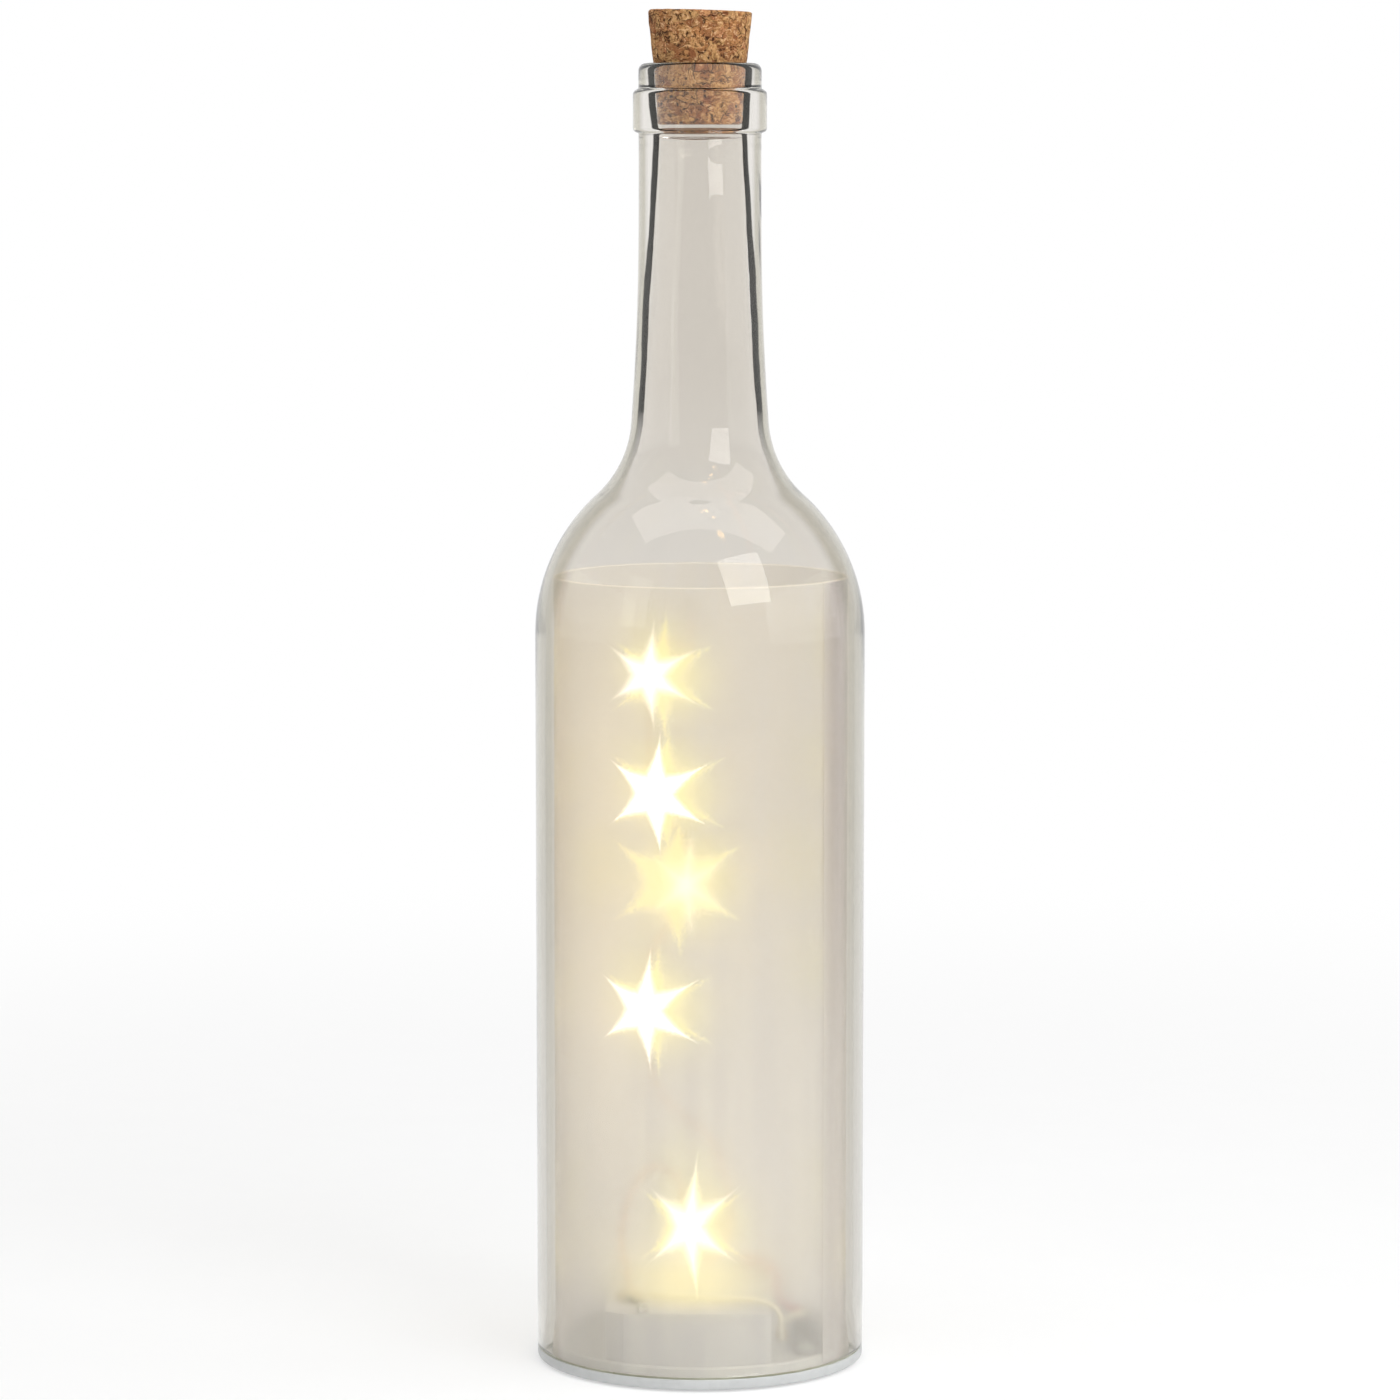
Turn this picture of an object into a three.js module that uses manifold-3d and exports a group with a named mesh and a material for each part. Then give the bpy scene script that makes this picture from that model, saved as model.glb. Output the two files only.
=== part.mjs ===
// A bottle light: a clear glass bottle with its bottom cut open, a cork in the mouth, a rolled
// hologram film inside, a five-light copper wire string, and a plastic base with a battery case.
// Millimetres, +Z up, the foot plane at z = 0, the front towards -Y.
import * as THREE from "three";
import { mergeVertices } from "three/addons/utils/BufferGeometryUtils.js";
import Module from "manifold-3d";

const wasm = await Module();
wasm.setup();

// Clearances
const FIT = 0.3;
const FILM_FIT = 0.2;
const CORK_FIT = 0.2;

// Glass bottle, outside
const BODY_TOP = 162.85;
const SHOULDER_RADIUS = 41.5;
const NECK_FILLET = 24;
const NECK_FOOT_RADIUS = 15.2;
const NECK_TOP_RADIUS = 13.52;
const NECK_LEAN = 4;
const BOTTLE_TOP = 288.4;
const LIP_RADIUS = 13.55;
const LIP_ROUND = 1.7;
const LIP_HEIGHT = 5.4;
const RING_RADIUS = 14.75;
const RING_HEIGHT = 10.2;
const RING_BEVEL = 1.4;

// Glass bottle, wall
const BODY_WALL = 2.1;
const SHOULDER_WALL = 1.35;
const NECK_WALL = 2.1;
const CUT_BEVEL = 0.4;
const TURN_STEPS = 40;

// Cork
const CORK_TOP_RADIUS = 11.5;
const CORK_LIP_RADIUS = 10.25;
const CORK_TIP_RADIUS = 9.3;
const CORK_ABOVE = 11.6;
const CORK_BELOW = 13.4;
const CORK_ROUND = 0.5;

// Film, pushed up until its edge meets the shoulder
const FILM_ROOM = 1.7;
const FILM_THICKNESS = 0.3;
const FILM_LAP_GAP = 0.15;
const FILM_LAP_ANGLE = 25;
const FILM_EDGE_ANGLE = -36;

// Base
const FLANGE_THICKNESS = 2.4;
const FLANGE_INSET = 0.1;
const FLANGE_ROUND = 0.7;
const FOOT_RECESS = 1;
const FOOT_WIDTH = 3.9;
const LEDGE_THICKNESS = 0.6;
const SPIGOT_WALL = 1;
const SPIGOT_HEIGHT = 1.4;
const GLUE_THICKNESS = 0.4;

// Cells, three of the size AAA, lying front to back
const CELL_RADIUS = 5.25;
const CELL_CAN = 43.5;
const CELL_NUB = 1;
const CELL_NUB_RADIUS = 1.9;
const CELL_GAP = 0.3;
const CELL_SHIFT = 0.7;
const PACK_X = -2.5;

// Battery case and door
const CASE_WALL = 1;
const CASE_SIDE_ROOM = 0.9;
const CASE_HEAD_ROOM = 0.5;
const DOOR_THICKNESS = 1.4;
const DOOR_LEDGE = 1;
const DOOR_CORNER = 2.5;
const DOOR_TAB_WIDTH = 5;
const DOOR_TAB_REACH = 1.1;
const DOOR_TONGUE_WIDTH = 9;
const DOOR_TONGUE_LENGTH = 8;

// Contacts
const PLATE_THICKNESS = 0.4;
const PLATE_WIDTH = 6;
const PLATE_HEIGHT = 7.6;
const TAB_WIDTH = 2.2;
const TAB_ABOVE = 2.2;
const SPRING_WIRE = 0.3;
const SPRING_WIDE = 2.9;
const SPRING_NARROW = 1.7;
const SPRING_TURNS = 2.25;

// Slide switch
const SWITCH_SIDE_GAP = 4.6;
const SWITCH_WIDTH = 6.5;
const SWITCH_HEIGHT = 5.4;
const SWITCH_TRAVEL = 3;
const SLIDER_WIDTH = 4;
const SLIDER_LENGTH = 5.4;
const SLIDER_HEIGHT = 3.1;
const STEM_WIDTH = 2.2;
const STEM_LENGTH = 2.6;
const STEM_TIP = 0.35;
const EAR_LENGTH = 4.6;
const EAR_THICKNESS = 0.9;
const SCREW_RADIUS = 0.9;
const SCREW_HEAD = 1.9;
const TERMINAL_HEIGHT = 2.6;
const TERMINAL_PITCH = 3.2;

// Wires and lights
const LEAD_RADIUS = 0.6;
const STRING_RADIUS = 0.55;
const LIGHT_RADIUS = 1.7;
const LIGHT_HALF = 3.1;
const RESISTOR_RADIUS = 1.15;
const RESISTOR_LENGTH = 6.2;
const EXIT_GLUE_RADIUS = 3;
const EXIT_GLUE_HEIGHT = 2.4;
const TAIL_GLUE_RADIUS = 1.5;

const RAD = Math.PI / 180;

const part = new THREE.Group();
part.name = "bottle_light";

function add(name, geometry, color, roughness, metalness, opacity = 1) {
  const material = new THREE.MeshStandardMaterial({ color, roughness, metalness });
  material.transparent = opacity < 1;
  material.opacity = opacity;
  const mesh = new THREE.Mesh(geometry, material);
  mesh.name = name;
  part.add(mesh);
  return mesh;
}

function solidOf(geometry) {
  const bare = geometry.clone();
  bare.deleteAttribute("normal");
  bare.deleteAttribute("uv");
  const merged = mergeVertices(bare, 1e-4);
  const mesh = new wasm.Mesh({
    numProp: 3,
    vertProperties: new Float32Array(merged.attributes.position.array),
    triVerts: new Uint32Array(merged.index.array),
  });
  return new wasm.Manifold(mesh);
}

function geometryOf(solid) {
  const mesh = solid.getMesh();
  const geometry = new THREE.BufferGeometry();
  geometry.setAttribute("position", new THREE.BufferAttribute(mesh.vertProperties, 3));
  geometry.setIndex(new THREE.BufferAttribute(mesh.triVerts, 1));
  geometry.computeVertexNormals();
  return geometry;
}

function cut(body, ...tools) {
  return geometryOf(wasm.Manifold.difference([solidOf(body), ...tools.map(solidOf)]));
}

function join(...bodies) {
  return geometryOf(wasm.Manifold.union(bodies.map(solidOf)));
}

function common(...bodies) {
  return geometryOf(wasm.Manifold.intersection(bodies.map(solidOf)));
}

function box(x0, x1, y0, y1, z0, z1) {
  const geometry = new THREE.BoxGeometry(x1 - x0, y1 - y0, z1 - z0);
  return geometry.translate((x0 + x1) / 2, (y0 + y1) / 2, (z0 + z1) / 2);
}

function post(radius, x, y, z0, z1, steps = 20) {
  const geometry = new THREE.CylinderGeometry(radius, radius, z1 - z0, steps);
  return geometry.rotateX(Math.PI / 2).translate(x, y, (z0 + z1) / 2);
}

function turned(points, steps) {
  return new THREE.LatheGeometry(points, steps).rotateX(Math.PI / 2);
}

function at(r, z) {
  return new THREE.Vector2(r, z);
}

function roundedSlab(x0, x1, y0, y1, corner, z0, z1) {
  const shape = new THREE.Shape();
  shape.moveTo(x0 + corner, y0);
  shape.lineTo(x1 - corner, y0);
  shape.absarc(x1 - corner, y0 + corner, corner, -Math.PI / 2, 0);
  shape.lineTo(x1, y1 - corner);
  shape.absarc(x1 - corner, y1 - corner, corner, 0, Math.PI / 2);
  shape.lineTo(x0 + corner, y1);
  shape.absarc(x0 + corner, y1 - corner, corner, Math.PI / 2, Math.PI);
  shape.lineTo(x0, y0 + corner);
  shape.absarc(x0 + corner, y0 + corner, corner, Math.PI, 1.5 * Math.PI);
  const slab = new THREE.ExtrudeGeometry(shape, { depth: z1 - z0, bevelEnabled: false, curveSegments: 5 });
  return slab.translate(0, 0, z0);
}

function tube(points, radius, steps, sides = 8) {
  const path = new THREE.CatmullRomCurve3(points);
  const ring = [];
  for (let i = 0; i < sides; i += 1) {
    const turn = (i / sides) * 2 * Math.PI;
    ring.push(at(radius * Math.cos(turn), radius * Math.sin(turn)));
  }
  return new THREE.ExtrudeGeometry(new THREE.Shape(ring), { steps, extrudePath: path, bevelEnabled: false });
}

function along(start, end, amount) {
  return start + (end - start) * amount;
}

// Cells and where they lie
const doorTop = FOOT_RECESS + DOOR_THICKNESS;
const floorTop = doorTop + LEDGE_THICKNESS;
const cellPitch = 2 * CELL_RADIUS + CELL_GAP;
const cellZ = doorTop + FIT + CELL_RADIUS;
const cellX = [PACK_X - cellPitch, PACK_X, PACK_X + cellPitch];
const cellFacing = [1, -1, 1];
const canEnd = CELL_CAN / 2 + CELL_SHIFT;
const canTail = CELL_CAN / 2 - CELL_SHIFT;
const nubEnd = canEnd + CELL_NUB;

// Rings around the cells, from the case outwards: case, spigot, film and glass
const packReach = Math.hypot(Math.abs(PACK_X) + cellPitch + CELL_RADIUS, canEnd);
const caseTrim = packReach + FIT + CASE_WALL;
const spigotInner = caseTrim + FIT;
const spigotOuter = spigotInner + SPIGOT_WALL;
const filmInner = spigotOuter + FIT;
const filmPitch = FILM_THICKNESS + FILM_LAP_GAP;
const filmTurns = 1 + FILM_LAP_ANGLE / 360;
const filmOuter = filmInner + FILM_THICKNESS + filmPitch * filmTurns;
const glassInner = filmOuter + FILM_ROOM;
const bodyRadius = glassInner + BODY_WALL;

// Outline of the glass: body, convex shoulder, concave fillet, neck, ring and lip
const lean = NECK_LEAN * RAD;
const shoulderR = bodyRadius - SHOULDER_RADIUS;
const filletR = NECK_FOOT_RADIUS + NECK_FILLET * Math.cos(lean);
const swing = Math.acos((filletR - shoulderR) / (SHOULDER_RADIUS + NECK_FILLET));
const filletZ = BODY_TOP + (SHOULDER_RADIUS + NECK_FILLET) * Math.sin(swing);
const neckFootZ = filletZ - NECK_FILLET * Math.sin(lean);
const glassFoot = FLANGE_THICKNESS + GLUE_THICKNESS;
const lipFoot = BOTTLE_TOP - LIP_HEIGHT;
const ringFoot = lipFoot - RING_HEIGHT;
const boreRadius = CORK_TIP_RADIUS + CORK_FIT;
const boreFoot = BOTTLE_TOP - CORK_BELOW - 2;

function shoulderWall(turn) {
  return SHOULDER_WALL + (BODY_WALL - SHOULDER_WALL) * (1 - turn / swing) ** 3;
}

function filletWall(turn) {
  return along(NECK_WALL, SHOULDER_WALL, (turn - lean) / (swing - lean));
}

function shoulderPoint(turn, depth) {
  const reach = SHOULDER_RADIUS - depth;
  return at(shoulderR + reach * Math.cos(turn), BODY_TOP + reach * Math.sin(turn));
}

function filletPoint(turn, depth) {
  const reach = NECK_FILLET + depth;
  return at(filletR - reach * Math.cos(turn), filletZ - reach * Math.sin(turn));
}

function neckCurve(foot, head, footLean) {
  const third = (head.y - foot.y) * 0.4;
  const low = at(foot.x - third * Math.tan(footLean), foot.y + third);
  const high = at(head.x, head.y - third);
  return new THREE.CubicBezierCurve(foot, low, high, head);
}

const outside = [];
outside.push(at(bodyRadius - CUT_BEVEL, glassFoot));
outside.push(at(bodyRadius, glassFoot + CUT_BEVEL));
for (let i = 0; i <= 8; i += 1) {
  outside.push(shoulderPoint(swing * (i / 8), 0));
}
for (let i = 1; i <= 5; i += 1) {
  outside.push(filletPoint(along(swing, lean, i / 5), 0));
}
const neckOut = neckCurve(at(NECK_FOOT_RADIUS, neckFootZ), at(NECK_TOP_RADIUS, ringFoot), lean);
outside.push(...neckOut.getPoints(5).slice(1));
outside.push(at(RING_RADIUS - 0.3, ringFoot + RING_BEVEL * 0.8));
outside.push(at(RING_RADIUS, ringFoot + RING_BEVEL));
outside.push(at(RING_RADIUS, lipFoot - RING_BEVEL));
outside.push(at(RING_RADIUS - 0.3, lipFoot - RING_BEVEL * 0.8));
outside.push(at(LIP_RADIUS, lipFoot));
for (let i = 0; i <= 3; i += 1) {
  const turn = (i / 3) * (Math.PI / 2);
  const r = LIP_RADIUS - LIP_ROUND * (1 - Math.cos(turn));
  outside.push(at(r, BOTTLE_TOP - LIP_ROUND * (1 - Math.sin(turn))));
}

const inside = [];
inside.push(at(CORK_LIP_RADIUS + CORK_FIT + 0.4, BOTTLE_TOP));
inside.push(at(CORK_LIP_RADIUS + CORK_FIT, BOTTLE_TOP - 0.4));
inside.push(at(boreRadius, boreFoot));
const neckInFoot = filletPoint(lean, NECK_WALL);
for (let i = 1; i <= 3; i += 1) {
  inside.push(at(along(boreRadius, neckInFoot.x, i / 4), along(boreFoot, neckInFoot.y, i / 4)));
}
for (let i = 0; i <= 5; i += 1) {
  const turn = along(lean, swing, i / 5);
  inside.push(filletPoint(turn, filletWall(turn)));
}
for (let i = 1; i <= 8; i += 1) {
  const turn = along(swing, 0, i / 8);
  inside.push(shoulderPoint(turn, shoulderWall(turn)));
}
inside.push(at(glassInner, glassFoot));

function heightOfRadius(radius) {
  const i = inside.findIndex((point, k) => k > 3 && point.x >= radius);
  const high = inside[i - 1];
  const low = inside[i];
  return along(low.y, high.y, (low.x - radius) / (low.x - high.x));
}

const bottleProfile = [...outside, ...inside, outside[0].clone()];
add("glass_bottle", turned(bottleProfile, TURN_STEPS), 0xdfe6df, 0.05, 0, 0.35);

// Cork: a cone above the lip and a slimmer cone in the bore
const corkTop = BOTTLE_TOP + CORK_ABOVE;
const corkTip = BOTTLE_TOP - CORK_BELOW;
const corkProfile = [
  at(0, corkTip),
  at(CORK_TIP_RADIUS - CORK_ROUND, corkTip),
  at(CORK_TIP_RADIUS, corkTip + CORK_ROUND),
  at(CORK_LIP_RADIUS, BOTTLE_TOP),
  at(CORK_TOP_RADIUS, corkTop - CORK_ROUND),
  at(CORK_TOP_RADIUS - CORK_ROUND, corkTop),
  at(0, corkTop),
];
add("cork_stopper", turned(corkProfile, 32), 0xb98f63, 0.9, 0);

// Film: one sheet rolled to a tube, its two upright edges lapped
const filmTop = heightOfRadius(filmOuter + FILM_FIT);
const filmSteps = 64;

function filmPoint(step, side) {
  const turn = (step / filmSteps) * filmTurns;
  const radius = filmOuter - FILM_THICKNESS / 2 - filmPitch * turn + (side * FILM_THICKNESS) / 2;
  const angle = FILM_EDGE_ANGLE * RAD + turn * 2 * Math.PI;
  return at(radius * Math.cos(angle), radius * Math.sin(angle));
}

const filmOutline = [];
for (let i = 0; i <= filmSteps; i += 1) {
  filmOutline.push(filmPoint(i, 1));
}
for (let i = filmSteps; i >= 0; i -= 1) {
  filmOutline.push(filmPoint(i, -1));
}
const filmFoot = FLANGE_THICKNESS;
const filmSolid = new THREE.ExtrudeGeometry(new THREE.Shape(filmOutline), {
  depth: filmTop - filmFoot,
  bevelEnabled: false,
});
add("hologram_film", filmSolid.translate(0, 0, filmFoot), 0xe6e2dc, 0.4, 0, 0.5);

// Base: flange under the glass, foot ring, floor and the spigot inside the film
const flangeRadius = bodyRadius - FLANGE_INSET;
const recessRadius = flangeRadius - FOOT_WIDTH;
const spigotTop = floorTop + SPIGOT_HEIGHT;
const flangeProfile = [at(0, FOOT_RECESS), at(recessRadius - 0.3, FOOT_RECESS), at(recessRadius, 0)];
for (let i = 0; i <= 3; i += 1) {
  const turn = (i / 3) * (Math.PI / 2);
  const r = flangeRadius - FLANGE_ROUND * (1 - Math.sin(turn));
  flangeProfile.push(at(r, FLANGE_ROUND * (1 - Math.cos(turn))));
}
flangeProfile.push(at(flangeRadius, FLANGE_THICKNESS));
flangeProfile.push(at(spigotOuter, FLANGE_THICKNESS));
flangeProfile.push(at(spigotOuter, spigotTop - 0.4));
flangeProfile.push(at(spigotOuter - 0.4, spigotTop));
flangeProfile.push(at(spigotInner, spigotTop));
flangeProfile.push(at(spigotInner, floorTop));
flangeProfile.push(at(0, floorTop));

const glueProfile = [
  at(glassInner + 0.1, FLANGE_THICKNESS),
  at(flangeRadius - 0.2, FLANGE_THICKNESS),
  at(flangeRadius - 0.2, glassFoot),
  at(glassInner + 0.1, glassFoot),
  at(glassInner + 0.1, FLANGE_THICKNESS),
];
add("adhesive_ring", turned(glueProfile, TURN_STEPS), 0xd8d8d2, 0.4, 0);

// Cells, the middle one turned the other way
const cellProfile = [
  at(0, -canTail),
  at(CELL_RADIUS - 0.4, -canTail),
  at(CELL_RADIUS, -canTail + 0.4),
  at(CELL_RADIUS, canEnd - 0.4),
  at(CELL_RADIUS - 0.4, canEnd),
  at(CELL_NUB_RADIUS, canEnd),
  at(CELL_NUB_RADIUS, nubEnd),
  at(0, nubEnd),
];
cellX.forEach((x, i) => {
  const cell = new THREE.LatheGeometry(cellProfile, 24);
  if (cellFacing[i] < 0) {
    cell.rotateZ(Math.PI);
  }
  add(`battery_${i + 1}`, cell.translate(x, 0, cellZ), 0x6f8f5a, 0.35, 0.5);
});

// Bay through the floor, with a ledge that the door closes against
const bayHalfX = cellPitch + CELL_RADIUS + 0.45;
const bayHalfY = canEnd + 0.45;
const doorHalfX = bayHalfX + DOOR_LEDGE;
const doorHalfY = bayHalfY + DOOR_LEDGE;
const tabX = doorHalfX * 0.55;
const tabTip = doorHalfY + DOOR_TAB_REACH;
const tabTop = doorTop;
const tabFoot = doorTop - DOOR_THICKNESS / 2;

// Case over the cells, trimmed round to clear the spigot
const plateFace = nubEnd + FIT;
const plateBack = plateFace + PLATE_THICKNESS;
const caseInnerY = plateBack + FIT;
const caseOuterY = caseInnerY + CASE_WALL;
const caseInnerX = cellPitch + CELL_RADIUS + CASE_SIDE_ROOM;
const caseOuterX = caseInnerX + CASE_WALL;
const caseCeiling = cellZ + CELL_RADIUS + CASE_HEAD_ROOM;
const caseTop = caseCeiling + CASE_WALL;
const tabSlotHalf = TAB_WIDTH / 2 + FIT;
const negativeTabX = cellX[0] + 0.8;
const positiveTabX = cellX[2];

const caseBlock = common(
  roundedSlab(PACK_X - caseOuterX, PACK_X + caseOuterX, -caseOuterY, caseOuterY, 1.6, floorTop, caseTop),
  post(caseTrim, 0, 0, 0, caseTop + 1, TURN_STEPS),
);
const caseHollow = common(
  box(PACK_X - caseInnerX, PACK_X + caseInnerX, -caseInnerY, caseInnerY, floorTop - 1, caseCeiling),
  post(caseTrim - CASE_WALL, 0, 0, 0, caseTop + 1, TURN_STEPS),
);
const ribFoot = cellZ + CELL_RADIUS * 0.62;
const caseShell = cut(
  caseBlock,
  caseHollow,
  box(
    positiveTabX - tabSlotHalf,
    positiveTabX + tabSlotHalf,
    plateFace - FIT,
    caseInnerY,
    cellZ,
    caseTop + 1,
  ),
  box(
    negativeTabX - tabSlotHalf,
    negativeTabX + tabSlotHalf,
    -caseInnerY,
    FIT - plateFace,
    cellZ,
    caseTop + 1,
  ),
);
const ribs = [-0.5, 0.5].map((side) => {
  const x = PACK_X + side * cellPitch;
  return box(x - 0.45, x + 0.45, -canTail, canTail, ribFoot, caseCeiling + CASE_WALL / 2);
});
add("battery_case", join(caseShell, ...ribs), 0xd9dbdb, 0.5, 0);

// Slide switch beside the case
const switchX = PACK_X + caseOuterX + SWITCH_SIDE_GAP + SWITCH_WIDTH / 2;
const switchCavity = SLIDER_LENGTH + SWITCH_TRAVEL + 2 * FIT;
const switchHalfY = switchCavity / 2 + 1.1;
const switchTop = floorTop + SWITCH_HEIGHT;
const earHalfX = SWITCH_WIDTH / 2 - 0.7;
const screwY = switchHalfY + EAR_LENGTH / 2;
const earTop = floorTop + EAR_THICKNESS;
const screwHole = SCREW_RADIUS + FIT;
const screwTip = FOOT_RECESS + 0.7;
const sliderY = -SWITCH_TRAVEL / 2;

const switchShell = cut(
  join(
    box(
      switchX - SWITCH_WIDTH / 2,
      switchX + SWITCH_WIDTH / 2,
      -switchHalfY,
      switchHalfY,
      floorTop,
      switchTop,
    ),
    box(
      switchX - earHalfX,
      switchX + earHalfX,
      -screwY - EAR_LENGTH / 2,
      screwY + EAR_LENGTH / 2,
      floorTop,
      earTop,
    ),
  ),
  box(
    switchX - SLIDER_WIDTH / 2 - FIT,
    switchX + SLIDER_WIDTH / 2 + FIT,
    -switchCavity / 2,
    switchCavity / 2,
    floorTop - 1,
    floorTop + SLIDER_HEIGHT + 2 * FIT,
  ),
  post(screwHole, switchX, screwY, floorTop - 1, earTop + 1),
  post(screwHole, switchX, -screwY, floorTop - 1, earTop + 1),
);
add("switch_body", switchShell, 0x3a3a3c, 0.5, 0.2);

const slider = join(
  box(
    switchX - SLIDER_WIDTH / 2,
    switchX + SLIDER_WIDTH / 2,
    sliderY - SLIDER_LENGTH / 2,
    sliderY + SLIDER_LENGTH / 2,
    floorTop + FIT,
    floorTop + FIT + SLIDER_HEIGHT,
  ),
  box(
    switchX - STEM_WIDTH / 2,
    switchX + STEM_WIDTH / 2,
    sliderY - STEM_LENGTH / 2,
    sliderY + STEM_LENGTH / 2,
    STEM_TIP,
    floorTop + FIT + 0.5,
  ),
);
add("switch_slider", slider, 0x1c1c1e, 0.55, 0);

[-1, 0, 1].forEach((side, i) => {
  const y = side * TERMINAL_PITCH;
  const pin = box(switchX - 0.4, switchX + 0.4, y - 0.25, y + 0.25, switchTop, switchTop + TERMINAL_HEIGHT);
  add(`switch_terminal_${i + 1}`, pin, 0xc9c9c4, 0.3, 0.9);
});

[-1, 1].forEach((side, i) => {
  const y = side * screwY;
  const screw = cut(
    join(
      post(SCREW_HEAD, switchX, y, earTop, earTop + 1.1),
      post(SCREW_RADIUS, switchX, y, screwTip, earTop + 0.5),
    ),
    box(switchX - 1.2, switchX + 1.2, y - 0.25, y + 0.25, earTop + 0.6, earTop + 2),
    box(switchX - 0.25, switchX + 0.25, y - 1.2, y + 1.2, earTop + 0.6, earTop + 2),
  );
  add(`switch_screw_${i + 1}`, screw, 0xb9bab8, 0.35, 0.9);
});

// Base with its bay, door seat, tab pockets, thumb notch, switch slot and screw holes
const tabPocket = [-1, 1].map((side) => {
  const x = PACK_X + side * tabX;
  const half = DOOR_TAB_WIDTH / 2 + FIT;
  return box(x - half, x + half, bayHalfY - 0.5, tabTip + FIT, tabFoot - FIT, floorTop + 1);
});
const base = cut(
  turned(flangeProfile, TURN_STEPS),
  box(PACK_X - bayHalfX, PACK_X + bayHalfX, -bayHalfY, bayHalfY, 0, floorTop + 1),
  roundedSlab(
    PACK_X - doorHalfX,
    PACK_X + doorHalfX,
    -doorHalfY,
    doorHalfY,
    DOOR_CORNER,
    FOOT_RECESS - 0.5,
    doorTop,
  ),
  ...tabPocket,
  post(6, PACK_X, -doorHalfY + 1.6, FOOT_RECESS - 0.5, doorTop - 0.3, 32),
  box(
    switchX - STEM_WIDTH / 2 - FIT,
    switchX + STEM_WIDTH / 2 + FIT,
    -(SWITCH_TRAVEL + STEM_LENGTH) / 2 - FIT,
    (SWITCH_TRAVEL + STEM_LENGTH) / 2 + FIT,
    0,
    floorTop + 1,
  ),
  post(screwHole, switchX, screwY, screwTip - FIT, floorTop + 1),
  post(screwHole, switchX, -screwY, screwTip - FIT, floorTop + 1),
);
add("base_cap", base, 0xe4e6e6, 0.45, 0);

// Door: a plate with two hook tabs at the rear and a springy tongue at the front
const plateX = doorHalfX - FIT;
const plateY = doorHalfY - FIT;
const tongueSlit = [-1, 1].map((side) => {
  const x = PACK_X + (side * DOOR_TONGUE_WIDTH) / 2;
  return box(x - 0.35, x + 0.35, -plateY - 1, -plateY + DOOR_TONGUE_LENGTH, 0, doorTop + 1);
});
const tongueGrooves = [2, 3.6, 5.2].map((y) => {
  const half = DOOR_TONGUE_WIDTH / 2 - 1.2;
  return box(PACK_X - half, PACK_X + half, y - plateY - 0.35, y - plateY + 0.35, 0, FOOT_RECESS + 0.4);
});
const doorTabs = [-1, 1].map((side) => {
  const x = PACK_X + side * tabX;
  return box(x - DOOR_TAB_WIDTH / 2, x + DOOR_TAB_WIDTH / 2, plateY - 1, tabTip, tabFoot, tabTop);
});
const door = cut(
  join(
    roundedSlab(PACK_X - plateX, PACK_X + plateX, -plateY, plateY, DOOR_CORNER - FIT, FOOT_RECESS, doorTop),
    ...doorTabs,
  ),
  ...tongueSlit,
  ...tongueGrooves,
);
add("battery_door", door, 0xdfe1e1, 0.45, 0);

// Contacts: two single plates with solder tabs, two links, and a spring at each flat cell end
const plateFoot = cellZ - PLATE_HEIGHT / 2;
const plateHead = cellZ + PLATE_HEIGHT / 2;
const tabHead = caseTop + TAB_ABOVE;
const halfPlate = PLATE_WIDTH / 2;
const trimAtPlate = Math.sqrt((caseTrim - CASE_WALL - FIT) ** 2 - plateBack ** 2);
const plateLeft = Math.max(cellX[0] - halfPlate, -trimAtPlate);

const positiveContact = join(
  box(cellX[2] - halfPlate, cellX[2] + halfPlate, plateFace, plateBack, plateFoot, plateHead),
  box(positiveTabX - TAB_WIDTH / 2, positiveTabX + TAB_WIDTH / 2, plateFace, plateBack, cellZ, tabHead),
);
add("contact_positive", positiveContact, 0xc8cac6, 0.3, 0.9);

const negativeContact = join(
  box(plateLeft, cellX[0] + halfPlate, -plateBack, -plateFace, plateFoot, plateHead),
  box(negativeTabX - TAB_WIDTH / 2, negativeTabX + TAB_WIDTH / 2, -plateBack, -plateFace, cellZ, tabHead),
);
add("contact_negative", negativeContact, 0xc8cac6, 0.3, 0.9);

add(
  "contact_link_front",
  box(cellX[1] - halfPlate, cellX[2] + halfPlate, -plateBack, -plateFace, plateFoot, plateHead),
  0xc8cac6,
  0.3,
  0.9,
);
add(
  "contact_link_rear",
  box(plateLeft, cellX[1] + halfPlate, plateFace, plateBack, plateFoot, plateHead),
  0xc8cac6,
  0.3,
  0.9,
);

const springFrom = plateFace - FIT - SPRING_WIRE;
const springTo = canTail + FIT + SPRING_WIRE;
cellX.forEach((x, i) => {
  const side = -cellFacing[i];
  const points = [];
  const count = 20;
  for (let k = 0; k <= count; k += 1) {
    const share = k / count;
    const turn = share * SPRING_TURNS * 2 * Math.PI;
    const radius = along(SPRING_WIDE, SPRING_NARROW, share);
    const y = side * along(springFrom, springTo, share);
    points.push(new THREE.Vector3(x + radius * Math.cos(turn), y, cellZ + radius * Math.sin(turn)));
  }
  add(`battery_spring_${i + 1}`, tube(points, SPRING_WIRE, 30, 6), 0xbfc1bd, 0.3, 0.9);
});

// Hot-melt dome that holds the string and the leads on the case
const exitX = PACK_X - 13.2;
const exitY = -9.7;
const domeProfile = [at(0, caseTop), at(EXIT_GLUE_RADIUS, caseTop)];
for (let i = 1; i <= 4; i += 1) {
  const turn = (i / 4) * (Math.PI / 2);
  domeProfile.push(at(EXIT_GLUE_RADIUS * Math.cos(turn), caseTop + EXIT_GLUE_HEIGHT * Math.sin(turn)));
}
domeProfile[domeProfile.length - 1].x = 0;
add("wire_exit_glue", turned(domeProfile, 20).translate(exitX, exitY, 0), 0xd9c7a0, 0.4, 0);
const exitTop = caseTop + EXIT_GLUE_HEIGHT + FIT;

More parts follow.
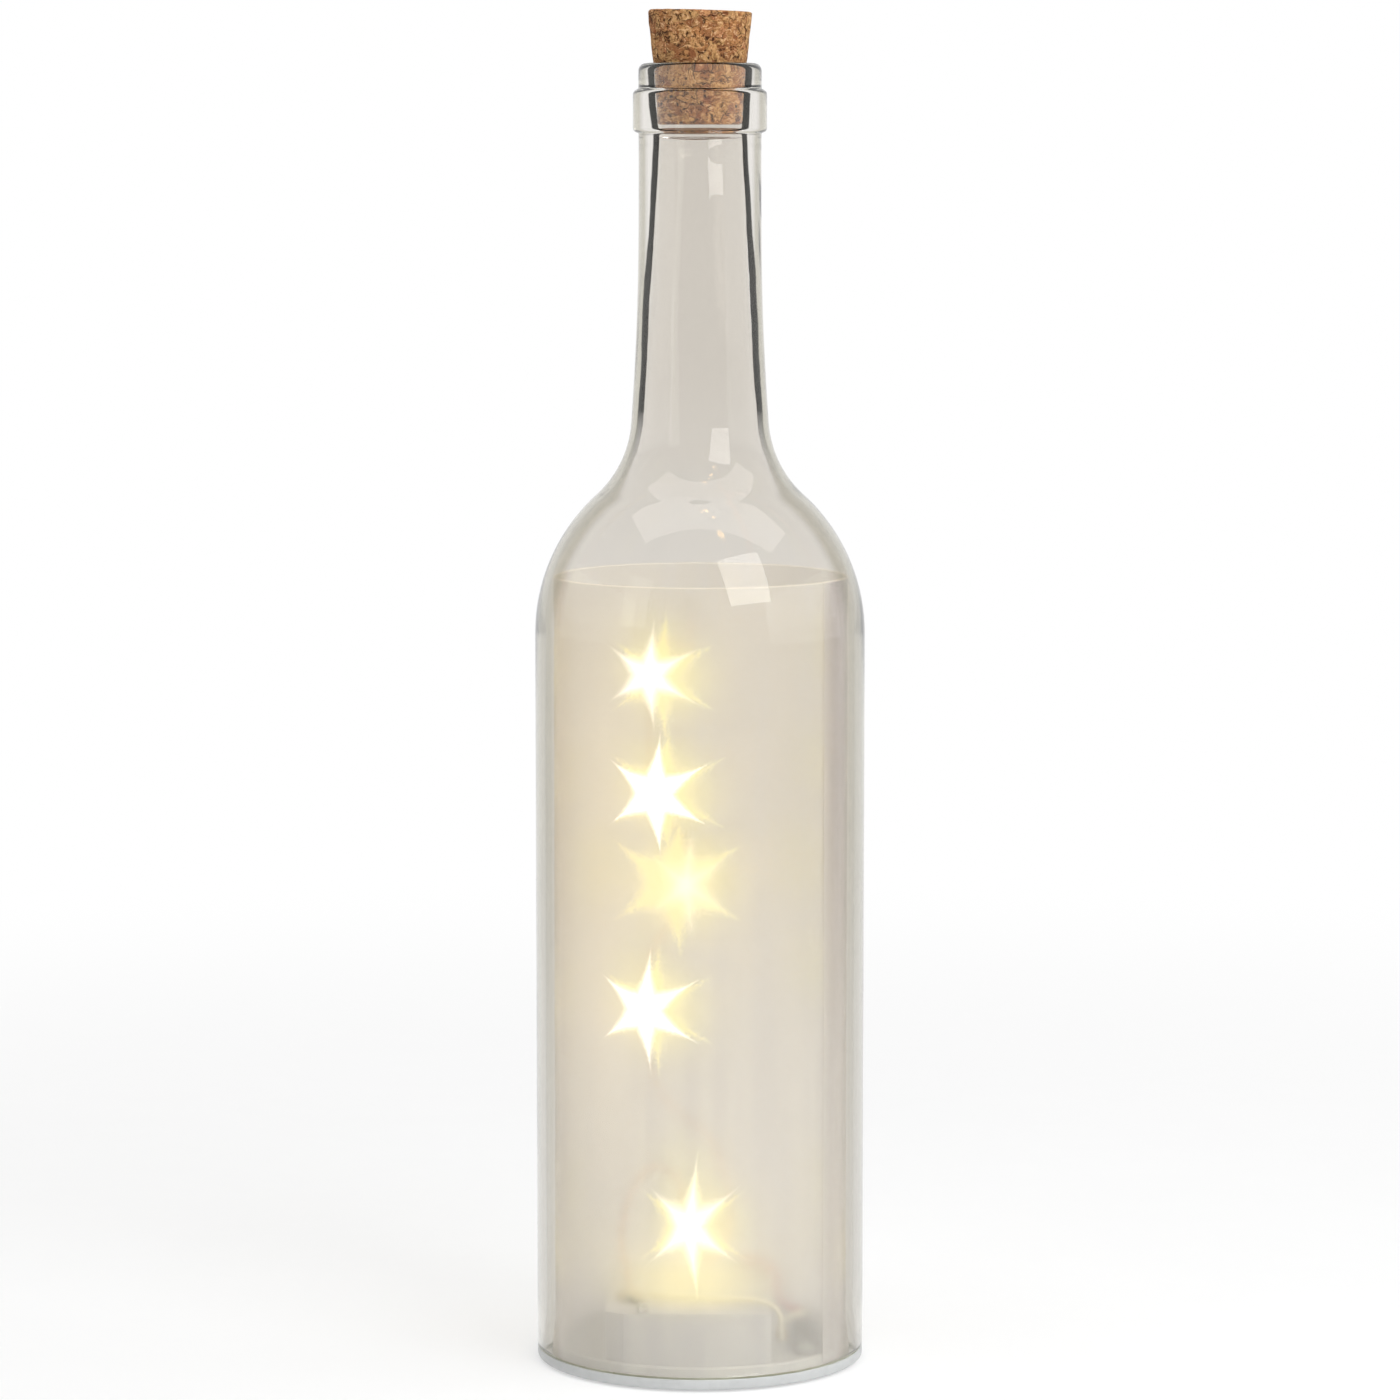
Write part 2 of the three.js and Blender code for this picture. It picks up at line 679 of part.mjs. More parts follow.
// Leads lie on the case and run beside it
function spot(x, y, z) {
  return new THREE.Vector3(x, y, z);
}

const leadZ = caseTop + LEAD_RADIUS + FIT / 2;
const tabMid = along(caseTop, tabHead, 0.6);
const pinMid = switchTop + TERMINAL_HEIGHT * 0.65;
const caseRight = PACK_X + caseOuterX;
const domeReach = EXIT_GLUE_RADIUS + FIT;

const leadBlack = [
  spot(negativeTabX, FIT - plateFace, tabMid),
  spot(negativeTabX, 2 - plateFace, tabMid),
  spot(along(negativeTabX, exitX, 0.25), along(-plateFace, exitY, 0.45), leadZ),
  spot(along(negativeTabX, exitX, 0.7), exitY - domeReach - 2.4, leadZ),
  spot(exitX, exitY - domeReach, leadZ),
];
add("lead_black", tube(leadBlack, LEAD_RADIUS, 10), 0x222224, 0.6, 0);

const leadRed = [
  spot(positiveTabX + TAB_WIDTH / 2 + FIT, plateFace + PLATE_THICKNESS / 2, tabMid),
  spot(positiveTabX + TAB_WIDTH / 2 + 2, plateFace, tabMid),
  spot(caseRight - 0.5, plateFace - 3, leadZ + 0.2),
  spot(caseRight + 2, plateFace - 7.5, caseTop - 0.6),
  spot(along(caseRight, switchX, 0.3), 9.5, pinMid + 1.4),
  spot(along(caseRight, switchX, 0.45), 3, pinMid + 0.3),
  spot(switchX - 2.4, 0.3, pinMid),
  spot(switchX - 0.4 - FIT, 0, pinMid),
];
add("lead_red", tube(leadRed, LEAD_RADIUS, 20), 0xb03028, 0.6, 0);

const resistorX = caseRight + SWITCH_SIDE_GAP / 2;
const resistorY = -14.6;
const resistorZ = floorTop + 5;
const resistorHead = resistorY + RESISTOR_LENGTH / 2;
const resistorTail = resistorY - RESISTOR_LENGTH / 2;
const resistorProfile = [
  at(0, -RESISTOR_LENGTH / 2),
  at(RESISTOR_RADIUS * 0.6, -RESISTOR_LENGTH / 2),
  at(RESISTOR_RADIUS, -RESISTOR_LENGTH * 0.38),
  at(RESISTOR_RADIUS * 0.82, -RESISTOR_LENGTH * 0.2),
  at(RESISTOR_RADIUS * 0.82, RESISTOR_LENGTH * 0.2),
  at(RESISTOR_RADIUS, RESISTOR_LENGTH * 0.38),
  at(RESISTOR_RADIUS * 0.6, RESISTOR_LENGTH / 2),
  at(0, RESISTOR_LENGTH / 2),
];
const resistorBody = new THREE.LatheGeometry(resistorProfile, 14);
add("resistor", resistorBody.translate(resistorX, resistorY, resistorZ), 0xc9b58a, 0.5, 0);

const leadFeed = [
  spot(switchX, -TERMINAL_PITCH - 0.25 - FIT, pinMid),
  spot(switchX - 0.1, -TERMINAL_PITCH - 2.2, pinMid + 0.2),
  spot(along(switchX, resistorX, 0.45), -TERMINAL_PITCH - 4.6, pinMid + 0.4),
  spot(resistorX + 0.3, resistorHead + 2.2, resistorZ + 1),
  spot(resistorX, resistorHead + FIT, resistorZ),
];
add("lead_switch", tube(leadFeed, LEAD_RADIUS, 12), 0xd8c23a, 0.6, 0);

const leadLight = [
  spot(resistorX, resistorTail - FIT, resistorZ),
  spot(resistorX, resistorTail - 2.4, resistorZ + 0.5),
  spot(resistorX - 0.2, resistorTail - 4.2, along(resistorZ, caseTop, 0.45)),
  spot(caseRight + 1.5, resistorTail - 4, caseTop),
  spot(caseRight - 1.2, resistorTail - 2.6, leadZ + 0.7),
  spot(along(caseRight, exitX, 0.4), along(resistorTail, exitY, 0.5), leadZ),
  spot(along(caseRight, exitX, 0.7), exitY - 1.6, leadZ),
  spot(exitX + domeReach + 2, exitY - 0.3, leadZ),
  spot(exitX + domeReach, exitY, leadZ),
];
add("lead_light", tube(leadLight, LEAD_RADIUS, 26), 0xd8c23a, 0.6, 0);

// Light string: stiff wire from the dome through five lights to the film at the rear
const filmRear = filmInner - FIT;
const tailY = filmRear - TAIL_GLUE_RADIUS * 0.45;
const lights = [
  spot(-2.5, 0, 28.3),
  spot(-12.3, 2, 78),
  spot(-3.6, 14, 103.8),
  spot(-9.6, 2, 126.5),
  spot(-10.2, -2, 153.2),
];
const tailTop = filmTop - 9.5;
const between = [
  [spot(exitX - 0.9, exitY + 1.6, exitTop + 4.5), spot(-17.5, -6, 27.4), spot(-15.3, -3, 37.6)],
  [spot(0, 2.4, 20.6), spot(4.6, 7.4, 21.4), spot(7, 10.6, 31), spot(3.4, 10.4, 45), spot(-9.4, 4, 59.6)],
  [spot(-11, 6, 90)],
  [spot(-3.8, 11, 115)],
  [spot(-11.4, -0.8, 139)],
  [spot(-8.2, 6, 160), spot(-4.6, 18, 156), spot(-2.6, tailY - 3.4, 155)],
];
between[0].push(spot(-10.4, -0.3, 42.6), spot(-4.8, 0.4, 39.4));
between[5].push(spot(-1.9, tailY, along(155, tailTop, 0.4)));
const tailEnd = spot(-1.6, tailY, tailTop - TAIL_GLUE_RADIUS * 1.3 - FIT);

const pointing = lights.map((place, i) => {
  const before = between[i][between[i].length - 1];
  const after = between[i + 1][0];
  return after.clone().sub(before).normalize();
});

const beadProfile = [at(0, -LIGHT_HALF)];
for (let i = 0; i <= 7; i += 1) {
  const share = i / 7;
  const bulge = Math.sin(share * Math.PI) ** 0.6;
  beadProfile.push(at(along(0.75, LIGHT_RADIUS, bulge), along(-LIGHT_HALF, LIGHT_HALF, share)));
}
beadProfile.push(at(0, LIGHT_HALF));
const upright = spot(0, 1, 0);
lights.forEach((place, i) => {
  const bead = new THREE.LatheGeometry(beadProfile, 12);
  bead.applyQuaternion(new THREE.Quaternion().setFromUnitVectors(upright, pointing[i]));
  add(`led_${i + 1}`, bead.translate(place.x, place.y, place.z), 0xffe9b0, 0.2, 0);
});

const stretchSteps = [22, 26, 8, 8, 8, 18];
between.forEach((middle, i) => {
  const points = [];
  const reach = LIGHT_HALF + FIT;
  if (i === 0) {
    points.push(spot(exitX, exitY, exitTop));
  } else {
    points.push(lights[i - 1].clone().addScaledVector(pointing[i - 1], reach));
    points.push(lights[i - 1].clone().addScaledVector(pointing[i - 1], reach + 1.6));
  }
  points.push(...middle);
  if (i === lights.length) {
    points.push(tailEnd);
  } else {
    points.push(lights[i].clone().addScaledVector(pointing[i], -reach - 1.6));
    points.push(lights[i].clone().addScaledVector(pointing[i], -reach));
  }
  add(`led_wire_${i + 1}`, tube(points, STRING_RADIUS, stretchSteps[i]), 0xb87b4a, 0.35, 0.8);
});

const tailGlue = new THREE.SphereGeometry(TAIL_GLUE_RADIUS, 14, 8);
tailGlue.scale(1, 0.45, 1.3);
add("wire_tail_glue", tailGlue.translate(-1.6, tailY, tailTop), 0xe8e2d2, 0.4, 0);

export default part;
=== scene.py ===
# %% [markdown]
# # A bottle light with a rolled star film
#
# The object is a clear glass bottle whose bottom was cut off. A cork closes the mouth, a rolled
# film with a star hologram lines the body, five small lights hang inside on a copper wire, and a
# pale plastic base with a battery case closes the cut. The CAD part gives every piece its place.
# This script gives the pieces their finish: it replaces the few that are looked at closely with
# finer meshes and paints all the others.

from functools import partial
from math import acos, atan2, cos, degrees, exp, hypot, pi, radians, sin, sqrt, tan

import bmesh
import bpy
from mathutils import Matrix, Vector, noise


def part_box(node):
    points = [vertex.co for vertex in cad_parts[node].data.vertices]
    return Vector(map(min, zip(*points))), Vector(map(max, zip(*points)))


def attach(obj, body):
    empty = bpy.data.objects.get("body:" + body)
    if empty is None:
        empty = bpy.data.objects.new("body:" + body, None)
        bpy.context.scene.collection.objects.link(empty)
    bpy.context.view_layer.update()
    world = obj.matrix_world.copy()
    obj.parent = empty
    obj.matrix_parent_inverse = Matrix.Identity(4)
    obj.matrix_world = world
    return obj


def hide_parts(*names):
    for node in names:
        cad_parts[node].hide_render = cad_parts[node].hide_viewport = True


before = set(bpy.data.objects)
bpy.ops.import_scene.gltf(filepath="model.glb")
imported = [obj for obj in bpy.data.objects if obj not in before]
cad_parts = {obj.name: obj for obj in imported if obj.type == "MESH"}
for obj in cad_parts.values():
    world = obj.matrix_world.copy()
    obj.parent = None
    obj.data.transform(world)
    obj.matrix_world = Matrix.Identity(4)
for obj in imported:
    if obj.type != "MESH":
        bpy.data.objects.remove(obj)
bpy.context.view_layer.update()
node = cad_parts
MM = 0.001

# %% [markdown]
# ## Tools
#
# Three small families of helpers keep the later cells short. `make` adds a node and wires it in one
# line, `put` gives the outputs of such a node, and the helpers after it do so for the nodes that
# are used often. They all build in the tree that was taken up last. `turn` spins an outline around
# an axis, the way a glass mould or a lathe makes a round piece. `finish_piece` hands a finished
# mesh to the frame.

# %% Node helpers
FLOAT, COLOUR, VECTOR = "NodeSocketFloat", "NodeSocketColor", "NodeSocketVector"
SHAPE, COAT = ("Geometry", "NodeSocketGeometry"), ("Material", "NodeSocketMaterial")
BLACK, WHITE = (0, 0, 0), (1, 1, 1)
hand = {}  # holds the tree that the helpers build in


def take_up(tree):
    tree.nodes.clear()
    hand["tree"] = tree


def make(kind, inputs=None, **settings):
    made = hand["tree"].nodes.new(kind)
    for key, value in settings.items():
        setattr(made, key, value)
    for key, value in (inputs or {}).items():
        wire(value, made.inputs[key])
    return made


def put(kind, inputs=None, **settings):
    return make(kind, inputs, **settings).outputs


def wire(value, socket):
    if isinstance(value, bpy.types.NodeSocket):
        hand["tree"].links.new(value, socket)
    else:
        socket.default_value = (*value, 1) if socket.type == "RGBA" else value


def dress(made, **inputs):
    for key, value in inputs.items():
        wire(value, made.inputs[key.replace("_", " ")])


# %% Helpers that calculate
def calc(operation, *values, clamp=False):
    made = make("ShaderNodeMath", operation=operation, use_clamp=clamp)
    for socket, value in zip(made.inputs, values):
        wire(value, socket)
    return made.outputs[0]


OPERATIONS = ("ADD", "SUBTRACT", "MULTIPLY", "DIVIDE", "MAXIMUM")
add, sub, mul, div, most = (partial(calc, operation) for operation in OPERATIONS)


def vec(operation, a, b, out="Vector"):
    return put("ShaderNodeVectorMath", {0: a, 1: b}, operation=operation)[out]


def length_of(vector):
    return vec("LENGTH", vector, (0, 0, 0), "Value")


def ease(value, low, high, start=0.0, end=1.0):
    made = make("ShaderNodeMapRange", interpolation_type="SMOOTHSTEP")
    dress(made, Value=value, From_Min=low, From_Max=high, To_Min=start, To_Max=end)
    return made.outputs["Result"]


def mix(factor, a, b, blend="MIX"):
    inputs = {"Factor": factor, 6: a, 7: b}
    return put("ShaderNodeMix", inputs, data_type="RGBA", blend_type=blend)[2]


# %% Helpers for places, patterns and rays
def own_place():
    return put("ShaderNodeTexCoord")["Object"]


def parts_of(vector):
    return put("ShaderNodeSeparateXYZ", {0: vector})


def join(x, y, z=0.0):
    return put("ShaderNodeCombineXYZ", {0: x, 1: y, 2: z})[0]


def grazing(**normal):
    return put("ShaderNodeLayerWeight", {"Blend": 0.5, **normal})["Facing"]


def from_behind():
    return put("ShaderNodeNewGeometry")["Backfacing"]


def channels(colour):
    return put("ShaderNodeSeparateColor", {"Color": colour})


def clouds(place, scale, detail, roughness=0.5):
    inputs = {"Vector": place, "Scale": scale, "Detail": detail, "Roughness": roughness}
    return put("ShaderNodeTexNoise", inputs)["Fac"]


def cells_of(place, scale, feature="F1"):
    return put("ShaderNodeTexVoronoi", {"Vector": place, "Scale": scale}, feature=feature)


def stored(name, out="Fac"):
    return put("ShaderNodeAttribute", attribute_name=name)[out]


def rays():
    return put("ShaderNodeLightPath")


def seen_rays(share):
    path = rays()
    bent = most(path["Is Glossy Ray"], path["Is Transmission Ray"])
    return most(mul(path["Is Camera Ray"], share), bent)


# %% Helpers for groups and materials
def new_group(kind, name, inputs, outputs):
    tree = bpy.data.node_groups.new(name, kind)
    for label, socket_kind, *default in inputs:
        socket = tree.interface.new_socket(label, in_out="INPUT", socket_type=socket_kind)
        if default:
            socket.default_value = default[0]
    for label, socket_kind in outputs:
        tree.interface.new_socket(label, in_out="OUTPUT", socket_type=socket_kind)
    take_up(tree)
    print("node group:", name)
    return tree, put("NodeGroupInput"), make("NodeGroupOutput").inputs


def use_group(group, **inputs):
    made = make("ShaderNodeGroup", node_tree=group)
    dress(made, **inputs)
    return made.outputs


def new_material(name):
    material = bpy.data.materials.new(name)
    material.use_nodes = True
    take_up(material.node_tree)
    put("ShaderNodeOutputMaterial")
    skin = make("ShaderNodeBsdfPrincipled")
    show(skin.outputs)
    print("material:", name)
    return material, skin


def show(shader):
    surface = next(n for n in hand["tree"].nodes if n.type == "OUTPUT_MATERIAL")
    wire(shader[0], surface.inputs["Surface"])


def raise_skin(skin, height, strength, depth):
    inputs = {"Height": height, "Strength": strength, "Distance": depth}
    wire(put("ShaderNodeBump", inputs)[0], skin.inputs["Normal"])


# %% Mesh helpers
def turn(name, outline, steps, shift=None, closed=False):
    """Spin a list of (radius, height) in mm around Z; a radius of 0 becomes a pole."""
    points, rings = [], []
    for radius, height in ((r * MM, z * MM) for r, z in outline):
        if radius == 0:
            rings.append([len(points)] * steps)
            points.append(Vector((0, 0, height)))
            continue
        ring = []
        for step in range(steps):
            angle = 2 * pi * step / steps
            ring.append(len(points))
            points.append(Vector((radius * cos(angle), radius * sin(angle), height)))
        rings.append(ring)
    faces = []
    for low, high in zip(rings, rings[1:] + rings[:closed]):
        for step in range(steps):
            after = (step + 1) % steps
            corners = [low[step], low[after], high[after], high[step]]
            faces.append([c for i, c in enumerate(corners) if c not in corners[:i]])
    if shift:
        points = [shift(p) for p in points]
    return mesh_piece(name, points, faces)


def mesh_piece(name, points, faces, edges=()):
    mesh = bpy.data.meshes.new(name)
    mesh.from_pydata([p[:] for p in points], list(edges), faces)
    mesh.validate()
    for polygon in mesh.polygons:
        polygon.use_smooth = True
    piece = bpy.data.objects.new(name, mesh)
    bpy.context.scene.collection.objects.link(piece)
    return piece


# %% Helpers that finish a mesh
def soften_edges(piece, limit):
    piece.data.set_sharp_from_angle(angle=radians(limit))


def settle(piece, modifier):
    """Evaluate once, keep the plain mesh and drop the modifier."""
    bpy.context.view_layer.update()
    seen = piece.evaluated_get(bpy.context.evaluated_depsgraph_get())
    made, old = bpy.data.meshes.new_from_object(seen), piece.data
    piece.modifiers.remove(modifier)
    piece.data = made
    made.name = piece.name
    bpy.data.meshes.remove(old)


def keep(mesh, **fields):
    for name, values in fields.items():
        mesh.attributes.new(name, "FLOAT", "POINT").data.foreach_set("value", values)


def finish_piece(piece, material, slot, body, *nodes):
    piece.data.materials.clear()
    piece.data.materials.append(material)
    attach(piece, body)
    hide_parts(*nodes)
    print(piece.name, len(piece.data.polygons), "faces for", ", ".join(nodes))


# %% Helpers for outlines
def arc(centre_r, centre_z, radius, start, end, count):
    out = []
    for i in range(count + 1):
        angle = radians(start + (end - start) * i / count)
        out.append((centre_r + radius * cos(angle), centre_z + radius * sin(angle)))
    return out


def straight_run(a, b, count):
    return [tuple(p + (q - p) * i / count for p, q in zip(a, b)) for i in range(1, count + 1)]


def share_of(value, low, high):
    return max(0.0, min(1.0, (value - low) / (high - low)))


# %% [markdown]
# ## Glass
#
# The bottle is blown in a mould, so its outside is a clean turned form, and its inside wanders a
# little: the neck wall is never quite even. The outline repeats the CAD part with finer steps. The
# real ring and lip are fire-polished, so their bevels become small rounds. A Screw modifier could
# spin the outline, but a mesh that is written out can be moved point by point. A low noise moves
# the inner neck wall in or out by a tenth of a millimetre. It is faint, but it breaks the dark
# lines that a perfect tube would show.

# %% Outline of the bottle
BODY_R, BODY_TOP, SHOULDER_R, FILLET_R = 36.6, 162.85, 41.5, 24.0
NECK_FOOT_R, NECK_TOP_R, NECK_PULL, LEAN = 15.2, 13.52, 0.4, radians(4)
GLASS_FOOT, RING_FOOT, LIP_FOOT, BOTTLE_TOP = 2.8, 272.8, 283.0, 288.4
BODY_WALL, SHOULDER_WALL, NECK_WALL = 2.1, 1.35, 2.1
LIP_R, LIP_ROUND, RING_ROUND, RING_EDGE = 13.55, 1.7, 1.2, 1.5
FOLD, FOLD_DROP, STEP_FOLD, STEP_RISE, STEP_R = 0.6, 0.05, 0.5, 0.1, 14.05
CUT_ROUND, BORE_ROUND = 0.5, 0.4
MOUTH, BORE = (10.45, 287.9), (9.5, 273.0)
WALL_STEPS, SHOULDER_STEPS, FILLET_STEPS, NECK_STEPS = (12, 40, 80, 120, 145), 40, 28, 26
shoulder_at = BODY_R - SHOULDER_R
fillet_at = NECK_FOOT_R + FILLET_R * cos(LEAN)
swing = acos((fillet_at - shoulder_at) / (SHOULDER_R + FILLET_R))
fillet_z = BODY_TOP + (SHOULDER_R + FILLET_R) * sin(swing)


def shoulder_point(angle, depth=0.0):
    reach = SHOULDER_R - depth
    return shoulder_at + reach * cos(angle), BODY_TOP + reach * sin(angle)


def fillet_point(angle, depth=0.0):
    reach = FILLET_R + depth
    return fillet_at - reach * cos(angle), fillet_z - reach * sin(angle)


def neck_points(foot, head, count):
    pull = NECK_PULL * (head[1] - foot[1])
    low = (foot[0] - pull * tan(LEAN), foot[1] + pull)
    high = (head[0], head[1] - pull)
    out = []
    for i in range(1, count + 1):
        t = i / count
        w = ((1 - t) ** 3, 3 * t * (1 - t) ** 2, 3 * t * t * (1 - t), t ** 3)
        ends = (foot, low, high, head)
        out.append(tuple(sum(k * p[n] for k, p in zip(w, ends)) for n in (0, 1)))
    return out


up = [i / SHOULDER_STEPS for i in range(SHOULDER_STEPS + 1)]
along = [i / FILLET_STEPS for i in range(1, FILLET_STEPS + 1)]
outside = [
    *arc(BODY_R - CUT_ROUND, GLASS_FOOT + CUT_ROUND, CUT_ROUND, -90, 0, 4),
    *[(BODY_R, z) for z in WALL_STEPS],
    *[shoulder_point(swing * t) for t in up],
    *[fillet_point(swing + (LEAN - swing) * t) for t in along],
    *neck_points(fillet_point(LEAN), (NECK_TOP_R, RING_FOOT - FOLD), NECK_STEPS),
    *arc(NECK_TOP_R + FOLD, RING_FOOT - FOLD_DROP, FOLD, 205, 140, 4),
    *arc(LIP_R, RING_FOOT + RING_EDGE, RING_ROUND, -50, 0, 5),
    *arc(LIP_R, LIP_FOOT - RING_EDGE, RING_ROUND, 0, 52, 5),
    *arc(STEP_R, LIP_FOOT + STEP_RISE, STEP_FOLD, 215, 180, 3),
    *arc(LIP_R - LIP_ROUND, BOTTLE_TOP - LIP_ROUND, LIP_ROUND, 0, 90, 10),
]
bore_r, more, less = BODY_R - BODY_WALL, BODY_WALL - SHOULDER_WALL, SHOULDER_WALL - NECK_WALL
inside = [
    *arc(MOUTH[0] + CUT_ROUND, MOUTH[1], CUT_ROUND, 90, 180, 4),
    *straight_run(MOUTH, BORE, 6),
    *straight_run(BORE, fillet_point(LEAN, NECK_WALL), 40),
    *[fillet_point(LEAN + (swing - LEAN) * t, NECK_WALL + less * t) for t in along],
    *[shoulder_point(swing * (1 - t), SHOULDER_WALL + more * t ** 3) for t in up[1:]],
    *[(bore_r, z) for z in reversed(WALL_STEPS)],
    *arc(bore_r + BORE_ROUND, GLASS_FOOT + BORE_ROUND, BORE_ROUND, 180, 270, 4),
]
outline = outside + inside
print("outline:", len(outline), "points, shoulder swing", round(degrees(swing), 1), "degrees")


# %% Bottle mesh
NECK_LOW, NECK_HIGH, NECK_INNER, WANDER = 215, 272, 13.0, 0.26
FADE_LOW, FADE_HIGH, SLOW, FAST, FAST_SHARE = 12, 6, (95, 26, 0), (210, 60, 4), 0.6


def wave_at(point, wide, tall, shift):
    return noise.noise(Vector((point.x * wide, point.y * wide, point.z * tall + shift)))


def wander(point):
    radius, height = hypot(point.x, point.y), point.z / MM
    if not NECK_LOW < height < NECK_HIGH or radius / MM >= NECK_INNER:
        return point
    fade = min(1, (height - NECK_LOW) / FADE_LOW, (NECK_HIGH - height) / FADE_HIGH)
    wave = wave_at(point, *SLOW) + FAST_SHARE * wave_at(point, *FAST)
    grow = 1 + fade * WANDER * MM * wave / radius
    return Vector((point.x * grow, point.y * grow, point.z))


bottle = turn("bottle_glass", outline, steps=160, shift=wander, closed=True)
top = max(v.co.z for v in bottle.data.vertices)
print("bottle:", len(bottle.data.vertices), "points, top at", top)

# %% Wall radii, stored on the outer face
HALF_WALL, RING_NARROW, EDGE_BODY, EDGE_FROM, EDGE_FULL = 0.6, 0.85, 0.10, 196, 212
SHADE_LOW, SHADE_FROM, SHADE_SPAN = 0.72, 60, 160
inner_wall = sorted((z, r) for r, z in inside)


def bore_at(height):
    for (z0, r0), (z1, r1) in zip(inner_wall, inner_wall[1:]):
        if z0 <= height <= z1:
            return r0 + (r1 - r0) * (height - z0) / max(z1 - z0, 1e-6)
    return inner_wall[-1][1] if height > inner_wall[-1][0] else inner_wall[0][1]


def wall_fields(point):
    radius, height = hypot(point.x, point.y) / MM, point.z / MM
    bore = bore_at(height)
    on_outside = 1.0 if radius > bore + HALF_WALL else 0.0
    # edge sets how strong the painted dark lines are, faint on the body and full in the neck; shade
    # sets how strong the painted shade at the limb is, weaker low down
    edge = EDGE_BODY + (1 - EDGE_BODY) * share_of(height, EDGE_FROM, EDGE_FULL)
    shade = max(SHADE_LOW, min(1.0, SHADE_LOW + (height - SHADE_FROM) / SHADE_SPAN))
    narrow = RING_NARROW if height > RING_FOOT else 1.0
    return radius, bore, on_outside * edge, narrow, on_outside * shade


walls = zip(*[wall_fields(v.co) for v in bottle.data.vertices])
keep(bottle.data, **dict(zip(("outer_r", "inner_r", "edge", "narrow", "shade"), walls)))

# %% [markdown]
# The glass is bottle glass: clear, slightly grey-green. Its tint works once for every wall, so the
# middle of the neck, seen through two walls, is deeper than the rim, seen through one. Where the
# line of sight just grazes the inner wall, the light that arrives has been bent far to the side
# and comes from the dark part of a studio. That makes the dark, wavering lines of a glass neck,
# and here they are painted shade. A Layer Weight tells how far from the axis the glass is looked
# through, and a second one, on an upright normal, takes out how high the eye stands. The stored
# wall radii tell where the inner wall lies. Between the two the tint is painted dark, and so is
# the mirror on the surface. It holds from every side. The limb of the body also gets a painted
# shade, a darker olive tint that is weaker low down. Lamps must reach the pieces inside, so for
# shadow rays the glass turns into a tinted window.


# %% Clear materials let the lamps through
def let_light_in(skin, tint):
    window = put("ShaderNodeBsdfTransparent", {"Color": tint})[0]
    inputs = {0: rays()["Is Shadow Ray"], 1: skin.outputs[0], 2: window}
    show(put("ShaderNodeMixShader", inputs))


# %% How far aside the glass is looked through
glass, skin = new_material("clear_bottle_glass")
straight = sub(1.0, grazing())
climb = sub(1.0, grazing(Normal=join(0.0, 0.0, 1.0)))
level = most(sub(1.0, mul(climb, climb)), 0.03)
ahead = div(mul(straight, straight), level)
aside = calc("SQRT", sub(1.0, ahead, clamp=True))

# %% Glass material
NECK_DEEP, NECK_CLEAR = (0.762, 0.736, 0.694), (0.790, 0.758, 0.714)
BODY_CLEAR, RIM_SHADE = (0.830, 0.808, 0.774), (0.375, 0.350, 0.262)
LINE_SHADE, LINE_MIRROR = (0.0006, 0.0007, 0.0004), (0.05, 0.05, 0.05)
GLASS_WINDOW = (0.86, 0.84, 0.80)
place = own_place()
stretched = vec("MULTIPLY", place, (1.0, 1.0, 0.35))
ripple = clouds(stretched, 90.0, 2.0)
tint = mix(ripple, NECK_DEEP, NECK_CLEAR)
on_body = ease(parts_of(place)["Z"], 0.172, 0.225, 1.0, 0.0)
tint = mix(on_body, tint, BODY_CLEAR)
front = sub(1.0, from_behind())
waver = mul(sub(clouds(stretched, 150.0, 3.0), 0.5), 1.3)
past = sub(mul(aside, stored("outer_r")), stored("inner_r"))
past = add(mul(past, stored("narrow")), waver)
# painted shade: the dark, wavering lines where the inner wall is grazed get a near-black tint and a
# dark mirror
line = mul(ease(past, -0.62, -0.38), ease(past, 0.72, 0.98, 1.0, 0.0))
line = mul(mul(line, stored("edge")), front)
# painted shade: the limb of the body is tinted darker, less so low down
rim = mul(ease(aside, 0.845, 0.915), mul(stored("shade"), front))
tint = mix(rim, tint, RIM_SHADE)
tint = mix(mul(line, 0.995), tint, LINE_SHADE)
mirror = mix(line, WHITE, LINE_MIRROR)
dress(skin, Base_Color=tint, Specular_Tint=mirror, Specular_IOR_Level=0.5)
dress(skin, Roughness=0.0, IOR=1.5, Transmission_Weight=1.0)
raise_skin(skin, ripple, 0.06, 0.0004)
let_light_in(skin, GLASS_WINDOW)
finish_piece(bottle, glass, "clear_glass", "bottle", "glass_bottle")

# %% [markdown]
# ## Cork
#
# The stopper is agglomerated cork: grains one to three millimetres wide, pressed together with
# glue and turned to a cone. A smooth cone with a bump would do from far off, but its outline would
# be too clean. So the mesh carries the form: a top that is cut a little askew, a worn edge and
# small pits. In the bore the surface only moves inward, so it never enters the glass.

# %% Cork mesh
CORK_FOOT, CORK_LIP, CORK_HEAD = (9.3, 275.0), (10.25, 288.4), (11.5, 300.0)
FOOT_ROUND, HEAD_ROUND, SIDE_FROM, SIDE_STEP = 0.5, 0.7, 275.9, 0.42
IN_BORE, BORE_GAP, TOP_FROM, TOP_R, ASKEW = 289, 0.05, 299, 8.8, 0.32
GRAIN_SCALE, GRAIN_DEEP, PIT_SCALE, PIT_DEEP, PIT_FROM = 520, 0.10, 900, 1.1, 0.32
HEAD_RINGS = (10, 9.2, 8.4, 7.6, 6.8, 6, 5.2, 4.4, 3.6, 2.8, 2, 1.2, 0.5, 0)


def cork_radius(height):
    low, high = (CORK_FOOT, CORK_LIP) if height < CORK_LIP[1] else (CORK_LIP, CORK_HEAD)
    share = (height - low[1]) / (high[1] - low[1])
    return low[0] + (high[0] - low[0]) * share


